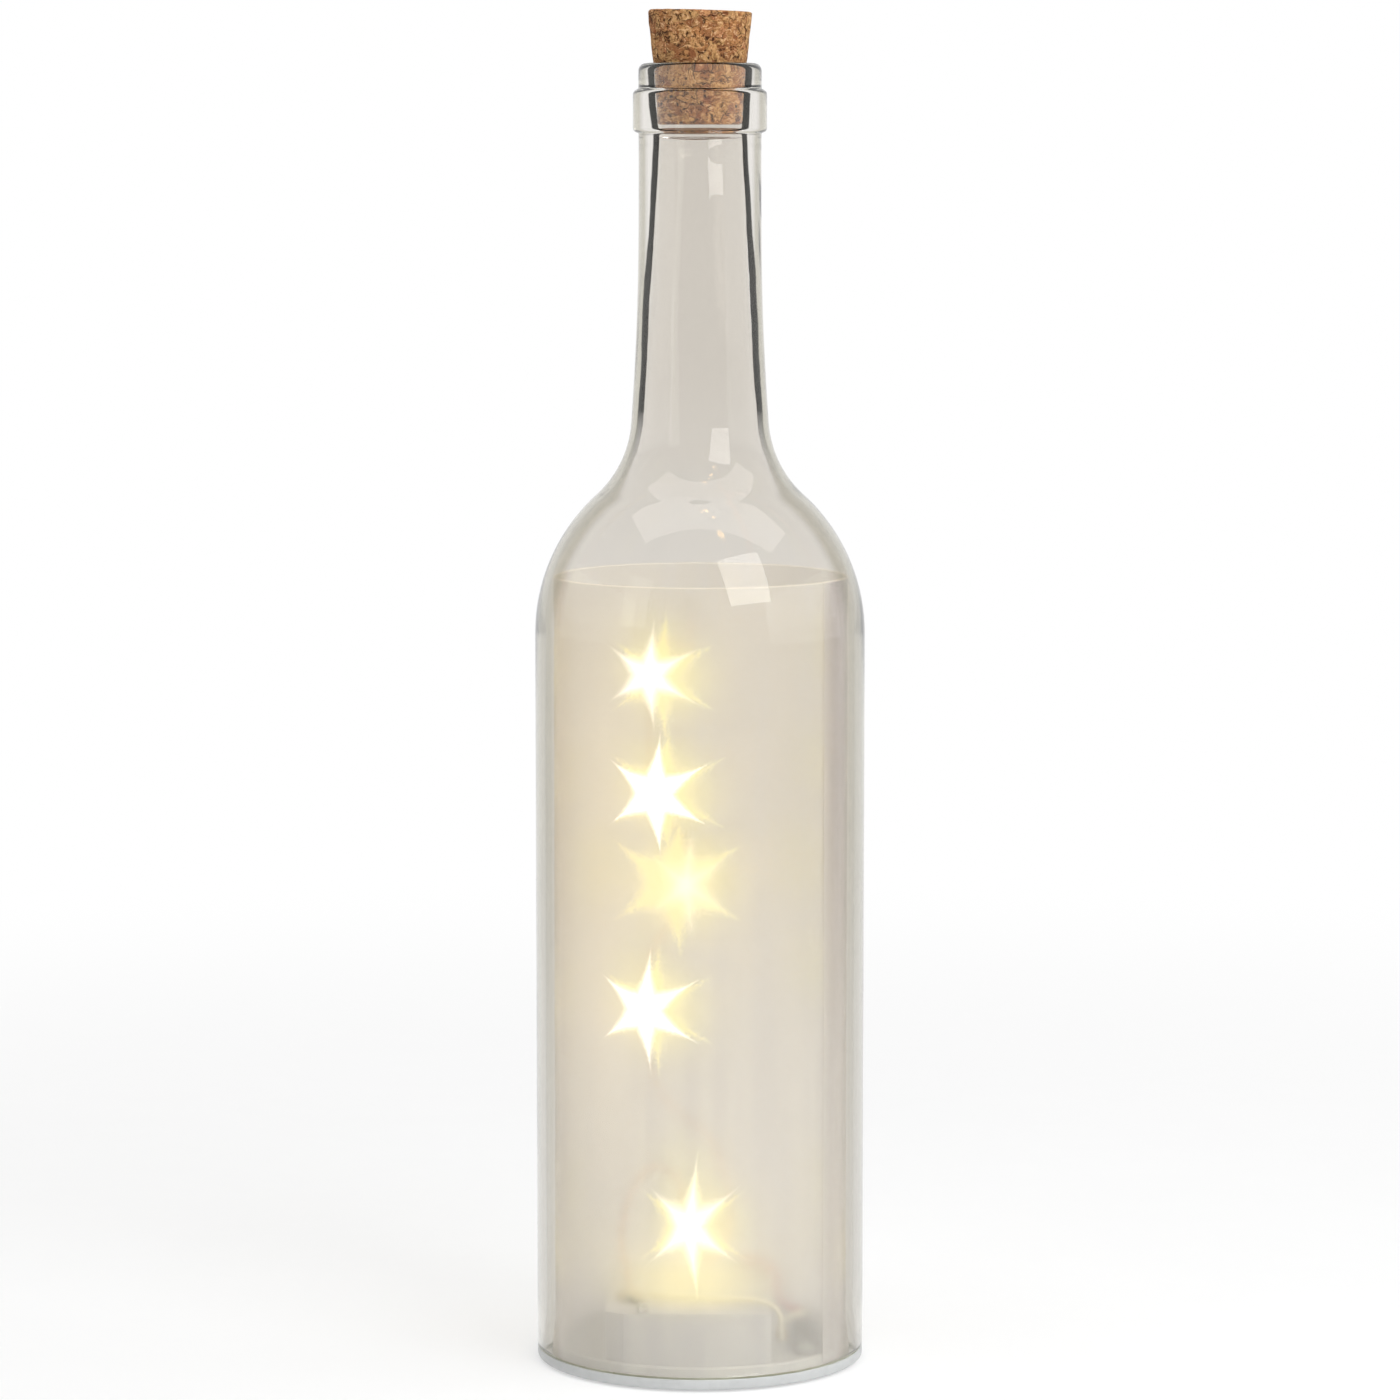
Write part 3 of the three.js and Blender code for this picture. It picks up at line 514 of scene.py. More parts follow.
def cork_surface(point):
    grain = noise.noise(point * GRAIN_SCALE)
    pit = max(0.0, noise.noise(point * PIT_SCALE + Vector((7, 3, 1))) - PIT_FROM)
    radius, height = hypot(point.x, point.y), point.z / MM
    amount = GRAIN_DEEP * grain - PIT_DEEP * pit
    if height < IN_BORE:
        amount = min(0.0, amount - BORE_GAP)
    moved = point.copy()
    if radius > TOP_R * MM or height < TOP_FROM + 0.5:
        grow = 1 + amount * MM / radius if radius > 1e-5 else 1
        moved.x, moved.y = point.x * grow, point.y * grow
    if height > TOP_FROM:
        askew = ASKEW * (point.x / (CORK_HEAD[0] * MM) + 0.35)
        moved.z += MM * (height - TOP_FROM) * (0.6 * amount - 0.12 - askew)
    return moved


foot, head = CORK_FOOT[1] + FOOT_ROUND, CORK_HEAD[1] - HEAD_ROUND
sides = [SIDE_FROM + SIDE_STEP * i for i in range(1, 56)]
cork = turn("cork_stopper_grained", [
    *[(r, CORK_FOOT[1]) for r in (0, 2, 4, 6, 8)],
    *arc(cork_radius(foot) - FOOT_ROUND, foot, FOOT_ROUND, -90, 0, 4),
    *[(cork_radius(z), z) for z in sides],
    *arc(cork_radius(head - 0.1) - HEAD_ROUND, head, HEAD_ROUND, 0, 90, 6),
    *[(r, CORK_HEAD[1]) for r in HEAD_RINGS],
], steps=150, shift=cork_surface)
print("cork top", round(max(v.co.z for v in cork.data.vertices) / MM, 2), "mm")

# %% [markdown]
# The grains are cells of a Voronoi pattern in the piece's own coordinates. Every cell takes one of
# six cork browns, and a finer pattern of flakes breaks the large grains up. The layers of the bark
# show as short strokes, lying in some grains and standing in others: dark where a layer is torn,
# light where it is fresh. Broken glue lines between the grains and sparse round pores are dark
# too. The same fields also give the bump, so what is dark is also low.

# %% Grains and flakes of the cork
BROWNS = [
    (0.0, (0.260, 0.100, 0.040)), (0.14, (0.455, 0.205, 0.076)), (0.38, (0.370, 0.158, 0.058)),
    (0.54, (0.560, 0.305, 0.125)), (0.74, (0.490, 0.262, 0.100)), (0.88, (0.450, 0.180, 0.080)),
]
LIGHT_FLAKE, DARK_FLAKE, MOTTLE = (0.62, 0.36, 0.15), (0.27, 0.090, 0.036), (0.23, 0.085, 0.030)
FRESH_BARK, TORN_BARK = (0.80, 0.52, 0.28), (0.040, 0.014, 0.006)
cork_group, given, gives = new_group(
    "ShaderNodeTree", "pressed_cork",
    [("Place", VECTOR, (0, 0, 0)), ("Grain", FLOAT, 330.0), ("Crack", FLOAT, 0.06)],
    [("Colour", COLOUR), ("Height", FLOAT)],
)
bend = put("ShaderNodeTexNoise", {"Vector": given["Place"], "Scale": 420.0, "Detail": 3.0})
shift = vec("MULTIPLY", bend["Color"], (0.0030, 0.0030, 0.0022))
bent = vec("ADD", given["Place"], shift)
squeezed = vec("MULTIPLY", bent, (1.0, 1.0, 1.35))
choice = channels(cells_of(squeezed, given["Grain"])["Color"])
ramp = make("ShaderNodeValToRGB", {"Fac": choice[0]})
ramp.color_ramp.interpolation = "CONSTANT"
while len(ramp.color_ramp.elements) < len(BROWNS):
    ramp.color_ramp.elements.new(1.0)
for element, (where, colour) in zip(ramp.color_ramp.elements, BROWNS):
    element.position, element.color = where, (*colour, 1)
flake = channels(cells_of(bent, 640.0)["Color"])
bark = mix(mul(flake[1], 0.7), ramp.outputs[0], LIGHT_FLAKE)
bark = mix(ease(flake[0], 0.74, 0.78, 0.0, 0.7), bark, DARK_FLAKE)
fine = clouds(bent, 1900.0, 3.0)
bark = mix(ease(fine, 0.47, 0.60, 0.0, 0.55), bark, MOTTLE)

# %% Strokes, cracks and pores of the cork
edges = cells_of(squeezed, given["Grain"], "DISTANCE_TO_EDGE")["Distance"]
crack = ease(edges, 0.0, given["Crack"], 1.0, 0.0)
broken = mul(crack, ease(bend["Fac"], 0.49, 0.58))
lying = vec("MULTIPLY", bent, (1.0, 1.0, 2.8))
standing = vec("MULTIPLY", bent, (2.6, 2.6, 1.0))
way = mix(calc("GREATER_THAN", choice[1], 0.6), lying, standing)
strokes = clouds(way, 680.0, 4.0, 0.66)
clump = ease(clouds(bent, 210.0, 2.0), 0.42, 0.56, 0.40, 1.0)
slit = mul(ease(strokes, 0.54, 0.585), clump)
bark = mix(ease(strokes, 0.35, 0.45, 0.7, 0.0), bark, FRESH_BARK)
pore = cells_of(bent, 560.0)
some = calc("GREATER_THAN", channels(pore["Color"])[2], 0.74)
hole = mul(ease(pore["Distance"], 0.12, 0.26, 1.0, 0.0), some)
dark = most(most(broken, hole), slit)
wire(mix(mul(dark, 0.92), bark, TORN_BARK), gives["Colour"])
level = sub(mul(fine, 0.3), dark)
wire(add(level, mul(choice[1], 0.35)), gives["Height"])

# %% Cork material
pressed, skin = new_material("pressed_cork")
grain = use_group(cork_group, Place=own_place())
dress(skin, Base_Color=grain["Colour"], Roughness=0.86, Specular_IOR_Level=0.15)
raise_skin(skin, grain["Height"], 0.55, 0.0005)
finish_piece(cork, pressed, "cork", "cork", "cork_stopper")

# %% [markdown]
# ## Star film
#
# The film is one clear sheet rolled to a tube. A grid makes it, whose radius shrinks along its
# length, so that the lap lies free inside. Its outer face carries a fine diffraction pattern that
# turns every point of light into a six-pointed star. A renderer can't follow diffraction, so the
# stars are painted on the sheet as glow, where the lights are seen through it. The hologram shows
# its stars from all round, so the five lights are projected on the sheet from four sides.
#
# Each face corner stores its distance to the nearest star of each light, along the sheet and up.
# The material turns those distances into stars. More attributes store the wide, soft painted glow,
# the painted pool of light over the case, the cut edge at the top, which gets a painted
# highlight, and the lap.

# %% Rolled sheet
FILM_OUT, FILM_THICK, FILM_PITCH, FILM_TURNS = 32.80, 0.30, 0.45, 1 + 25 / 360
FILM_FOOT, FILM_EDGE, EDGE_THIN, EDGE_GAIN, RIM_ROW = 2.4, radians(-36), 0.12, 0.22, 0.3
film_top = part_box("hologram_film")[1].z / MM
ALONG, UP = 224, 62


def film_point(step, row, side):
    share = step / ALONG * FILM_TURNS
    thick = FILM_THICK * min(1.0, EDGE_THIN + EDGE_GAIN * min(step, ALONG - step))
    radius = FILM_OUT - FILM_THICK / 2 - FILM_PITCH * share + side * thick / 2
    angle = FILM_EDGE + share * 2 * pi
    rise = (film_top - RIM_ROW - FILM_FOOT) * row / (UP - 1)
    height = FILM_FOOT + rise if row < UP else film_top
    return Vector((radius * cos(angle), radius * sin(angle), height)) * MM


def film_index(step, row, side):
    return (step * (UP + 1) + row) * 2 + side


def film_rim(a, b, flip):
    rim = [film_index(*a, 1), film_index(*b, 1), film_index(*b, 0), film_index(*a, 0)]
    film_faces.append(rim[::-1] if flip else rim)


grid = [(s, r) for s in range(ALONG + 1) for r in range(UP + 1)]
film_points = [film_point(s, r, side) for s, r in grid for side in (-1, 1)]
film_faces = []
for s in range(ALONG):
    for r in range(UP):
        ring = [(s, r), (s + 1, r), (s + 1, r + 1), (s, r + 1)]
        film_faces.append([film_index(a, b, 1) for a, b in ring])
        film_faces.append([film_index(a, b, 0) for a, b in reversed(ring)])
    film_rim((s, 0), (s + 1, 0), True)
    film_rim((s, UP), (s + 1, UP), False)
for s, flip in ((0, False), (ALONG, True)):
    for r in range(UP):
        film_rim((s, r), (s, r + 1), flip)
film = mesh_piece("star_film_roll", film_points, film_faces)
soften_edges(film, 40)
mean_r = FILM_OUT - (FILM_THICK + FILM_PITCH * FILM_TURNS) / 2
flat = (2 * pi * mean_r * FILM_TURNS, film_top - FILM_FOOT)
print("film: flat size", [round(v, 1) for v in flat], "mm")

# %% Where the stars fall on the sheet
VIEW_FAR, VIEW_HIGH = 1.121, 0.2704
VIEW_SIDES = (-90, 18, 90, 162)
FAR_OFF = (400.0, 400.0)
lights = [sum(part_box(f"led_{k}"), Vector()) / 2 for k in range(1, 6)]


def star_place(light, side):
    turned = radians(side)
    eye = Vector((VIEW_FAR * cos(turned), VIEW_FAR * sin(turned), VIEW_HIGH))
    way = eye - light
    a = way.x ** 2 + way.y ** 2
    b = light.x * way.x + light.y * way.y
    c = light.x ** 2 + light.y ** 2 - (FILM_OUT * MM) ** 2
    hit = light + way * ((-b + sqrt(b * b - a * c)) / a)
    return atan2(hit.y, hit.x), hit.z


def offset(point, where):
    angle = atan2(point.y, point.x) - where[0]
    angle = (angle + pi) % (2 * pi) - pi
    return FILM_OUT * angle, (point.z - where[1]) / MM


star_places = [[star_place(light, side) for side in VIEW_SIDES] for light in lights]
mesh = film.data
lapped = ALONG / FILM_TURNS
for k, places in enumerate(star_places):
    layer = mesh.attributes.new(f"star_{k + 1}", "FLOAT_VECTOR", "CORNER")
    for face in mesh.polygons:
        outer = all(v % 2 == 1 for v in face.vertices)
        covered = face.vertices[0] // 2 // (UP + 1) >= lapped
        nearest = min(places, key=lambda where: abs(offset(face.center, where)[0]))
        for corner, v in zip(face.loop_indices, face.vertices):
            shown = outer and not covered
            spot = offset(mesh.vertices[v].co, nearest) if shown else FAR_OFF
            layer.data[corner].vector = (*spot, 0.0)
print("stars:", [[(round(degrees(a)), round(z / MM)) for a, z in p[:1]] for p in star_places])

# %% Painted glow, pool of light, rim highlight and lap of the sheet
CASE_TOP, GLOW_REACH, GLOW_LEFT, POOL_WIDE, POOL_HIGH, POOL_DOWN = 15.5, 30, 6, 15, 8, 12
NEAR_X, NEAR_WIDE, NEAR_LOW, NEAR_TOP, NEAR_GLOW = -21, 17, 40, 176, 1.7
LAP_END, LAP_FADE, LAP_LOW = 30, 8, 0.35
film_fields = []
for v in mesh.vertices:
    glow = pool = 0.0
    height = v.co.z / MM
    if v.index % 2 == 0:
        # the inner face gets a painted glow toward the top
        glow = 0.5 * share_of(height, 140, 165)
    else:
        # painted glow around every place where a star is seen
        for du, dv in (offset(v.co, where) for places in star_places for where in places):
            glow += exp(-((du + GLOW_LEFT) ** 2 + dv * dv) / GLOW_REACH ** 2)
        # painted pool of light over the case, below the lowest light
        above = share_of(height, CASE_TOP, CASE_TOP + 4)
        for du, dv in (offset(v.co, where) for where in star_places[0]):
            pool += above * exp(-((du / POOL_WIDE) ** 2 + ((dv + POOL_DOWN) / POOL_HIGH) ** 2))
        # painted glow in an upright band at the left
        near = max(0.0, 1.0 - abs(v.co.x / MM - NEAR_X) / NEAR_WIDE)
        within = max(0.0, min(1.0, (height - NEAR_LOW) / 40, (NEAR_TOP - height) / 34))
        glow += NEAR_GLOW * near * within
    step, row = divmod(v.index // 2, UP + 1)
    past_edge = step / ALONG * FILM_TURNS * 360
    over = max(0.0, min(1.0, (LAP_END - past_edge) / LAP_FADE, 0.15 + past_edge / 9))
    lap = over * (LAP_LOW + (1 - LAP_LOW) * share_of(row / UP, 0.35, 0.75))
    # rim marks the top row, where a highlight is painted
    film_fields.append((glow, pool, 1.0 if row == UP else 0.0, lap))
keep(mesh, **dict(zip(("glow", "pool", "rim", "lap"), zip(*film_fields))))

# %% [markdown]
# A star is drawn in polar form. The angle is folded into one half of one arm, so the two legs of
# the folded triangle measure along the arm and across it. A power below one bends the edge of the
# arm inward, which makes the arms slim. The upright arms lean a little to the right. The group
# gives the star's body and its soft halo, which drifts to the right, as masks.

# %% Star group
ARM_FOLD, ARM_BEND, ARM_LEAN, HALO_FALL, EULER = radians(30), 0.7, 0.11, -2.0, 2.71828
star_group, given, gives = new_group(
    "ShaderNodeTree", "six_point_star",
    [
        ("Place", VECTOR, (0, 0, 0)), ("Tip", FLOAT, 11.0), ("Waist", FLOAT, 6.2),
        ("Soft", FLOAT, 0.14), ("Slim", FLOAT, 1.0), ("Speck", FLOAT, 0.0), ("Drift", FLOAT, 2.2),
    ],
    [("Body", FLOAT), ("Halo", FLOAT)],
)
part_of = parts_of(given["Place"])
leaning = mul(calc("ABSOLUTE", part_of["Y"]), ARM_LEAN)
side_on = mul(sub(part_of["X"], leaning), given["Slim"])
reach = length_of(join(side_on, part_of["Y"]))
folded = calc("PINGPONG", calc("ARCTAN2", side_on, part_of["Y"]), ARM_FOLD)
on_arm = div(mul(reach, calc("COSINE", folded)), given["Tip"])
across = div(mul(reach, calc("SINE", folded)), given["Waist"])
legs = [calc("POWER", leg, ARM_BEND) for leg in (on_arm, across)]
field = add(add(*legs), given["Speck"])
inner, outer = sub(1.0, given["Soft"]), add(1.0, given["Soft"])
wire(ease(field, inner, outer, 1.0, 0.0), gives["Body"])
spread = join(sub(part_of["X"], given["Drift"]), part_of["Y"])
ratio = calc("POWER", div(length_of(spread), given["Tip"]), 2.0)
wire(calc("POWER", EULER, mul(ratio, HALO_FALL)), gives["Halo"])

# %% [markdown]
# The film is part clear and part milky: a rough transmission that blurs what lies behind it, with
# a share of plain scattering that catches the studio light. Its roughness keeps to a narrow range,
# in which the case behind is blurred and still has its edges. The stars are a white-hot star, a
# yellow double behind it, and a warm halo, all painted glow. They glow on the outer face only, so
# a star on the far side is not seen from inside. A faint painted glow joins the stars, a painted
# warm pool of light lies where the lowest light shines on the case, and a faint painted glow lifts
# the lowest part of the sheet. Where the doubles, the halos and the pool lie, the sheet's colour
# is painted yellow as well. The sheet is painted darker toward its limb, where it is looked
# through at a slant, less so low down and warmer at the left, and a highlight is painted along
# its cut top edge.

# %% Stars of the film
WARM, HOT, YELLOW = (1.0, 0.84, 0.26), (1.0, 0.98, 0.88), (0.235, 0.215, 0.088)
HALO_GLOW, HALO_TINT = 0.185, 0.8
# from the lowest light up, a core and its yellow double:
# tip, waist, softness, slimness, power and shift
STARS = [
    ((9.8, 4.8, 0.58, 1.50, 1.00, (0.1, 0.4, 0)), (12.2, 8.4, 0.24, 1.12, 1.0, (0.2, 0.5, 0))),
    ((11.2, 5.0, 0.26, 1.08, 1.00, (-0.1, -0.3, 0)), (12.4, 8.6, 0.24, 1.04, 1.0, (1.8, 0.0, 0))),
    ((6.8, 5.8, 0.80, 1.30, 0.32, (0.5, 0.4, 0)), (14.4, 10.2, 0.22, 1.02, 0.88, (-2.4, 0.7, 0))),
    ((11.5, 5.3, 0.20, 1.06, 1.00, (-0.6, 0.0, 0)), (12.8, 8.6, 0.24, 1.04, 1.0, (1.2, 0.4, 0))),
    ((7.8, 4.0, 0.50, 1.02, 0.95, (-1.2, 0.2, 0)), (12.0, 8.4, 0.24, 1.12, 1.0, (1.3, 0.0, 0))),
]
sheet, skin = new_material("star_hologram_film")
place = own_place()
# a fine noise that roughens the edges of the painted stars
speck = mul(sub(clouds(place, 2300.0, 1.0), 0.5), 0.55)
core_grain = mul(speck, 0.35)


def star(spot, shape, grain_noise):
    tip, waist, soft, slim, power, moved = shape
    there = vec("SUBTRACT", spot, moved)
    forms = dict(Tip=tip, Waist=waist, Soft=soft, Slim=slim, Speck=grain_noise)
    made = use_group(star_group, Place=there, **forms)
    return mul(made["Body"], power), made["Halo"]


glow, lit_tint = None, None
for k, (core, double) in enumerate(STARS):
    spot = stored(f"star_{k + 1}", "Vector")
    white, _ = star(spot, core, core_grain)
    yellow, soft_glow = star(spot, double, speck)
    halo = mix(mul(soft_glow, HALO_GLOW), BLACK, WARM)
    lit = mix(white, mix(yellow, halo, YELLOW), HOT)
    # painted light: the yellow double and the halo also tint the sheet's colour yellow
    star_tint = most(yellow, mul(soft_glow, HALO_TINT))
    glow = lit if glow is None else mix(1.0, glow, lit, "LIGHTEN")
    lit_tint = star_tint if lit_tint is None else most(lit_tint, star_tint)

# %% Glow of the film
VEIL_GLOW, POOL, LOW_GLOW = (1.0, 0.82, 0.47), (1.0, 0.84, 0.26), (0.034, 0.033, 0.031)
EDGE_HIGHLIGHT = (0.80, 0.72, 0.55)
height = parts_of(place)["Z"]
lit_case = stored("pool")
# painted light: a faint glow joins the stars, a warm pool lies over the case, and a faint glow lifts
# the lowest part
for amount, colour in (
    (mul(stored("glow"), 0.047, clamp=True), VEIL_GLOW),
    (mul(lit_case, 0.26, clamp=True), POOL),
    (ease(height, 0.03, 0.12, 1.0, 0.0), LOW_GLOW),
):
    glow = mix(1.0, glow, mix(amount, BLACK, colour), "ADD")
# painted highlight along the cut top edge
glow = mix(mul(stored("rim"), 0.30), glow, EDGE_HIGHLIGHT)
glow = mix(from_behind(), glow, BLACK)
dress(skin, Emission_Color=glow, Emission_Strength=1.35)

# %% Tone of the film
MILK_DEEP, MILK_CLEAR = (0.915, 0.903, 0.890), (0.965, 0.950, 0.930)
MILK_HIGH, STREAK, LAP = (0.888, 0.866, 0.836), (0.875, 0.865, 0.87), (0.62, 0.585, 0.625)
LIMB, LIMB_LEFT, LIGHT_TINT = (0.72, 0.615, 0.475), (0.77, 0.62, 0.41), (0.98, 0.95, 0.46)
FILM_WINDOW = (0.84, 0.83, 0.82)
cloud = clouds(place, 34.0, 3.0)
tone = mix(cloud, MILK_DEEP, MILK_CLEAR)
tone = mix(ease(height, 0.05, 0.15), tone, MILK_HIGH)
streak = clouds(vec("MULTIPLY", place, (1.0, 1.0, 0.03)), 210.0, 2.0)
tone = mix(ease(streak, 0.48, 0.66, 0.0, 0.5), tone, STREAK)
# painted shade: the sheet goes darker toward its limb, less so low down, and warmer at the left side
limb = mul(ease(grazing(), 0.45, 0.88), ease(height, 0.07, 0.14, 0.42, 0.92))
at_left = ease(parts_of(place)["X"], -0.032, -0.022, 1.0, 0.0)
tone = mix(limb, tone, mix(at_left, LIMB, LIMB_LEFT))
tone = mix(mul(stored("lap"), 0.9), tone, LAP)
# painted light: the sheet's colour is tinted yellow where the stars' light and the pool of light lie
lit_tint = most(lit_tint, mul(lit_case, 0.55))
tone = mix(mul(lit_tint, 0.82), tone, LIGHT_TINT)
milky = ease(cloud, 0.3, 0.7, 0.262, 0.272)
dress(skin, Base_Color=tone, Roughness=milky, Transmission_Weight=0.80, IOR=1.28)
let_light_in(skin, FILM_WINDOW)
finish_piece(film, sheet, "hologram_film", "bottle", "hologram_film")

# %% [markdown]
# ## Light string
#
# The string is two lacquered copper wires twisted around each other, with a drop of clear resin
# over every light. Two bevelled curves could show the wires, but in a Geometry Nodes tree the
# twist is a plain input. The tree follows the CAD route: it samples the path, swings each wire
# around it, and gives the wires a round section. The drops are instances on five points, each
# turned along the wire.

# %% Route of the wire
# six stretches; each but the first starts at a light
ROUTE = [
    [(-15.7, -9.7, 17.4), (-16.6, -8.1, 21.9), (-17.5, -6, 27.4), (-15.3, -3, 37.6),
     (-10.4, -0.3, 42.6), (-4.8, 0.4, 39.4)],
    [(-2.5, 0, 28.3), (0, 2.4, 20.6), (4.6, 7.4, 21.4), (7, 10.6, 31), (3.4, 10.4, 45),
     (-9.4, 4, 59.6)],
    [(-12.3, 2, 78), (-11, 6, 90)],
    [(-3.6, 14, 103.8), (-3.8, 11, 115)],
    [(-9.6, 2, 126.5), (-11.4, -0.8, 139)],
    [(-10.2, -2, 153.2), (-8.2, 6, 160), (-4.6, 18, 156), (-2.6, 27.65, 155), (-1.9, 31.05, 159.2),
     (-1.6, 31.05, 163.25)],
]
DROP_GAP, STRAIGHT, PER_SPAN = 3.4, 1.6, 14


def smooth_path(points):
    """Centripetal Catmull-Rom through the points."""
    ends = [2 * points[0] - points[1]] + points + [2 * points[-1] - points[-2]]
    out = []
    for four in zip(ends, ends[1:], ends[2:], ends[3:]):
        spans = list(zip(four, four[1:]))
        knots = [0.0]
        for a, b in spans:
            knots.append(knots[-1] + max((b - a).length, 1e-6) ** 0.5)
        for i in range(PER_SPAN):
            t = knots[1] + (knots[2] - knots[1]) * i / PER_SPAN

            def between(a, b, ta, tb):
                return a * ((tb - t) / (tb - ta)) + b * ((t - ta) / (tb - ta))

            a1, a2, a3 = (between(a, b, knots[n], knots[n + 1]) for n, (a, b) in enumerate(spans))
            b1 = between(a1, a2, knots[0], knots[2])
            b2 = between(a2, a3, knots[1], knots[3])
            out.append(between(b1, b2, knots[1], knots[2]))
    return out + [points[-1]]


flat_route = [Vector(p) for stretch in ROUTE for p in stretch]
heads = [Vector(stretch[0]) for stretch in ROUTE[1:]]
ways = []
for head in heads:
    at = flat_route.index(head)
    ways.append((flat_route[at + 1] - flat_route[at - 1]).normalized())
stretches = []
for i, stretch in enumerate(ROUTE):
    points = [Vector(p) for p in (stretch if i == 0 else stretch[1:])]
    if i > 0:
        leaving = [heads[i - 1] + ways[i - 1] * d for d in (DROP_GAP, DROP_GAP + STRAIGHT)]
        points = leaving + points
    if i < len(heads):
        points += [heads[i] - ways[i] * d for d in (DROP_GAP + STRAIGHT, DROP_GAP)]
    stretches.append(smooth_path(points))
length = sum((b - a).length for line in stretches for a, b in zip(line, line[1:]))
print("string wire:", len(stretches), "stretches,", round(length), "mm without the drops")


# %% Geometry trees
def run_tree(piece, tree, values):
    modifier = piece.modifiers.new(tree.name, "NODES")
    modifier.node_group = tree
    for socket in tree.interface.items_tree:
        if socket.in_out == "INPUT" and socket.name in values:
            modifier[socket.identifier] = values[socket.name]
    settle(piece, modifier)


def close_tree(shape, given, gives):
    whole = put("GeometryNodeRealizeInstances", {0: shape})[0]
    smooth = put("GeometryNodeSetShadeSmooth", {0: whole})[0]
    coated = put("GeometryNodeSetMaterial", {0: smooth, "Material": given["Material"]})
    wire(coated[0], gives["Geometry"])


# %% Tree for the twisted pair
pair_tree, given, gives = new_group(
    "GeometryNodeTree", "twisted_pair",
    [SHAPE, ("Wire Radius", FLOAT), ("Swing", FLOAT), ("Pitch", FLOAT), COAT], [SHAPE],
)
path = put("GeometryNodeMeshToCurve", {"Mesh": given["Geometry"]})[0]
path = put("GeometryNodeResampleCurve", {"Curve": path, "Length": 0.0007}, mode="LENGTH")[0]
along = put("GeometryNodeSplineParameter")["Length"]
angle = mul(div(along, given["Pitch"]), 2 * pi)
normal = put("GeometryNodeInputNormal")[0]
tangent = put("GeometryNodeInputTangent")[0]
across = vec("CROSS_PRODUCT", tangent, normal)
circle = {"Resolution": 8, "Radius": given["Wire Radius"]}
section = put("GeometryNodeCurvePrimitiveCircle", circle)[0]
both = make("GeometryNodeJoinGeometry")
for phase in (0.0, pi):
    turned = add(angle, phase)
    parts = []
    for direction, wave in ((normal, "COSINE"), (across, "SINE")):
        inputs = {0: direction, "Scale": mul(calc(wave, turned), given["Swing"])}
        parts.append(put("ShaderNodeVectorMath", inputs, operation="SCALE")[0])
    inputs = {"Geometry": path, "Offset": vec("ADD", *parts)}
    moved = put("GeometryNodeSetPosition", inputs)[0]
    strand = put("GeometryNodeCurveToMesh", {0: moved, 1: section, "Fill Caps": True})
    wire(strand[0], both.inputs[0])
close_tree(both.outputs[0], given, gives)

# %% [markdown]
# Lacquered copper is a warm metal with a slightly uneven skin. All the small metal and plastic
# pieces share one effect: a fine mottling that changes the tone a little and lifts the surface a
# little, at the scale of moulding or rolling marks.

# %% Shared mottling
mottle_group, given, gives = new_group(
    "ShaderNodeTree", "fine_mottle",
    [
        ("Place", VECTOR, (0, 0, 0)), ("Scale", FLOAT, 400.0),
        ("Dark", COLOUR, (0.5, 0.5, 0.5, 1)), ("Light", COLOUR, (0.6, 0.6, 0.6, 1)),
    ],
    [("Colour", COLOUR), ("Height", FLOAT), ("Wear", FLOAT)],
)
wide = clouds(given["Place"], mul(given["Scale"], 0.18), 3.0)
fine = clouds(given["Place"], given["Scale"], 4.0)
share = ease(add(mul(wide, 0.6), mul(fine, 0.4)), 0.32, 0.68)
wire(mix(share, given["Dark"], given["Light"]), gives["Colour"])
wire(fine, gives["Height"])
wire(ease(wide, 0.3, 0.7), gives["Wear"])


def mottle(scale, dark, light):
    return use_group(mottle_group, Place=own_place(), Scale=scale, Dark=dark, Light=light)


def mottled(name, dark, light, rough=(0.35, 0.5), metallic=0.0, scale=420.0, bump=0.12, **extra):
    material, skin = new_material(name)
    look = mottle(scale, dark, light)
    worn = ease(look["Wear"], 0.0, 1.0, *rough)
    dress(skin, Base_Color=look["Colour"], Roughness=worn, Metallic=metallic, **extra)
    raise_skin(skin, look["Height"], bump, 0.0003)
    return material


# %% The wire itself
COPPER_DARK, COPPER_LIGHT = (0.72, 0.40, 0.20), (0.86, 0.54, 0.30)
copper = mottled("lacquered_copper", COPPER_DARK, COPPER_LIGHT, (0.22, 0.36), 0.92, 900.0)
line_points, line_edges = [], []
for line in stretches:
    start = len(line_points)
    line_points += [p * MM for p in line]
    line_edges += [(start + i, start + i + 1) for i in range(len(line) - 1)]
string = mesh_piece("copper_string", line_points, [], line_edges)
twist = {"Wire Radius": 0.00018, "Swing": 0.00019, "Pitch": 0.0065}
run_tree(string, pair_tree, {**twist, "Material": copper})
finish_piece(string, copper, "copper_wire", "bottle", *[f"led_wire_{i}" for i in range(1, 7)])

# %% Tree for the resin drops
drop_tree, given, gives = new_group(
    "GeometryNodeTree", "resin_drops",
    [SHAPE, ("Radius", FLOAT), ("Half Length", FLOAT), COAT], [SHAPE],
)
ball = put("GeometryNodeMeshUVSphere", {"Segments": 28, "Rings": 20, "Radius": 1.0})[0]
stretch = join(given["Radius"], given["Radius"], given["Half Length"])
shaped = put("GeometryNodeTransform", {"Geometry": ball, "Scale": stretch})[0]
heading = put("GeometryNodeInputNamedAttribute", {"Name": "heading"}, data_type="FLOAT_VECTOR")
facing = put("FunctionNodeAlignRotationToVector", {"Vector": heading[0]}, axis="Z")[0]
inputs = {"Points": given["Geometry"], "Instance": shaped, "Rotation": facing}
close_tree(put("GeometryNodeInstanceOnPoints", inputs)[0], given, gives)

# %% [markdown]
# The resin is lit from inside by the chip, so it glows warm white. It also works as the lamp that
# warms the case and the film around it. It has three strengths: the full one as a lamp, a weaker
# one in the mirror of the glass, where it makes the gold specks on the shoulder, and the weakest
# one when it is looked at, so that a drop keeps its colour.

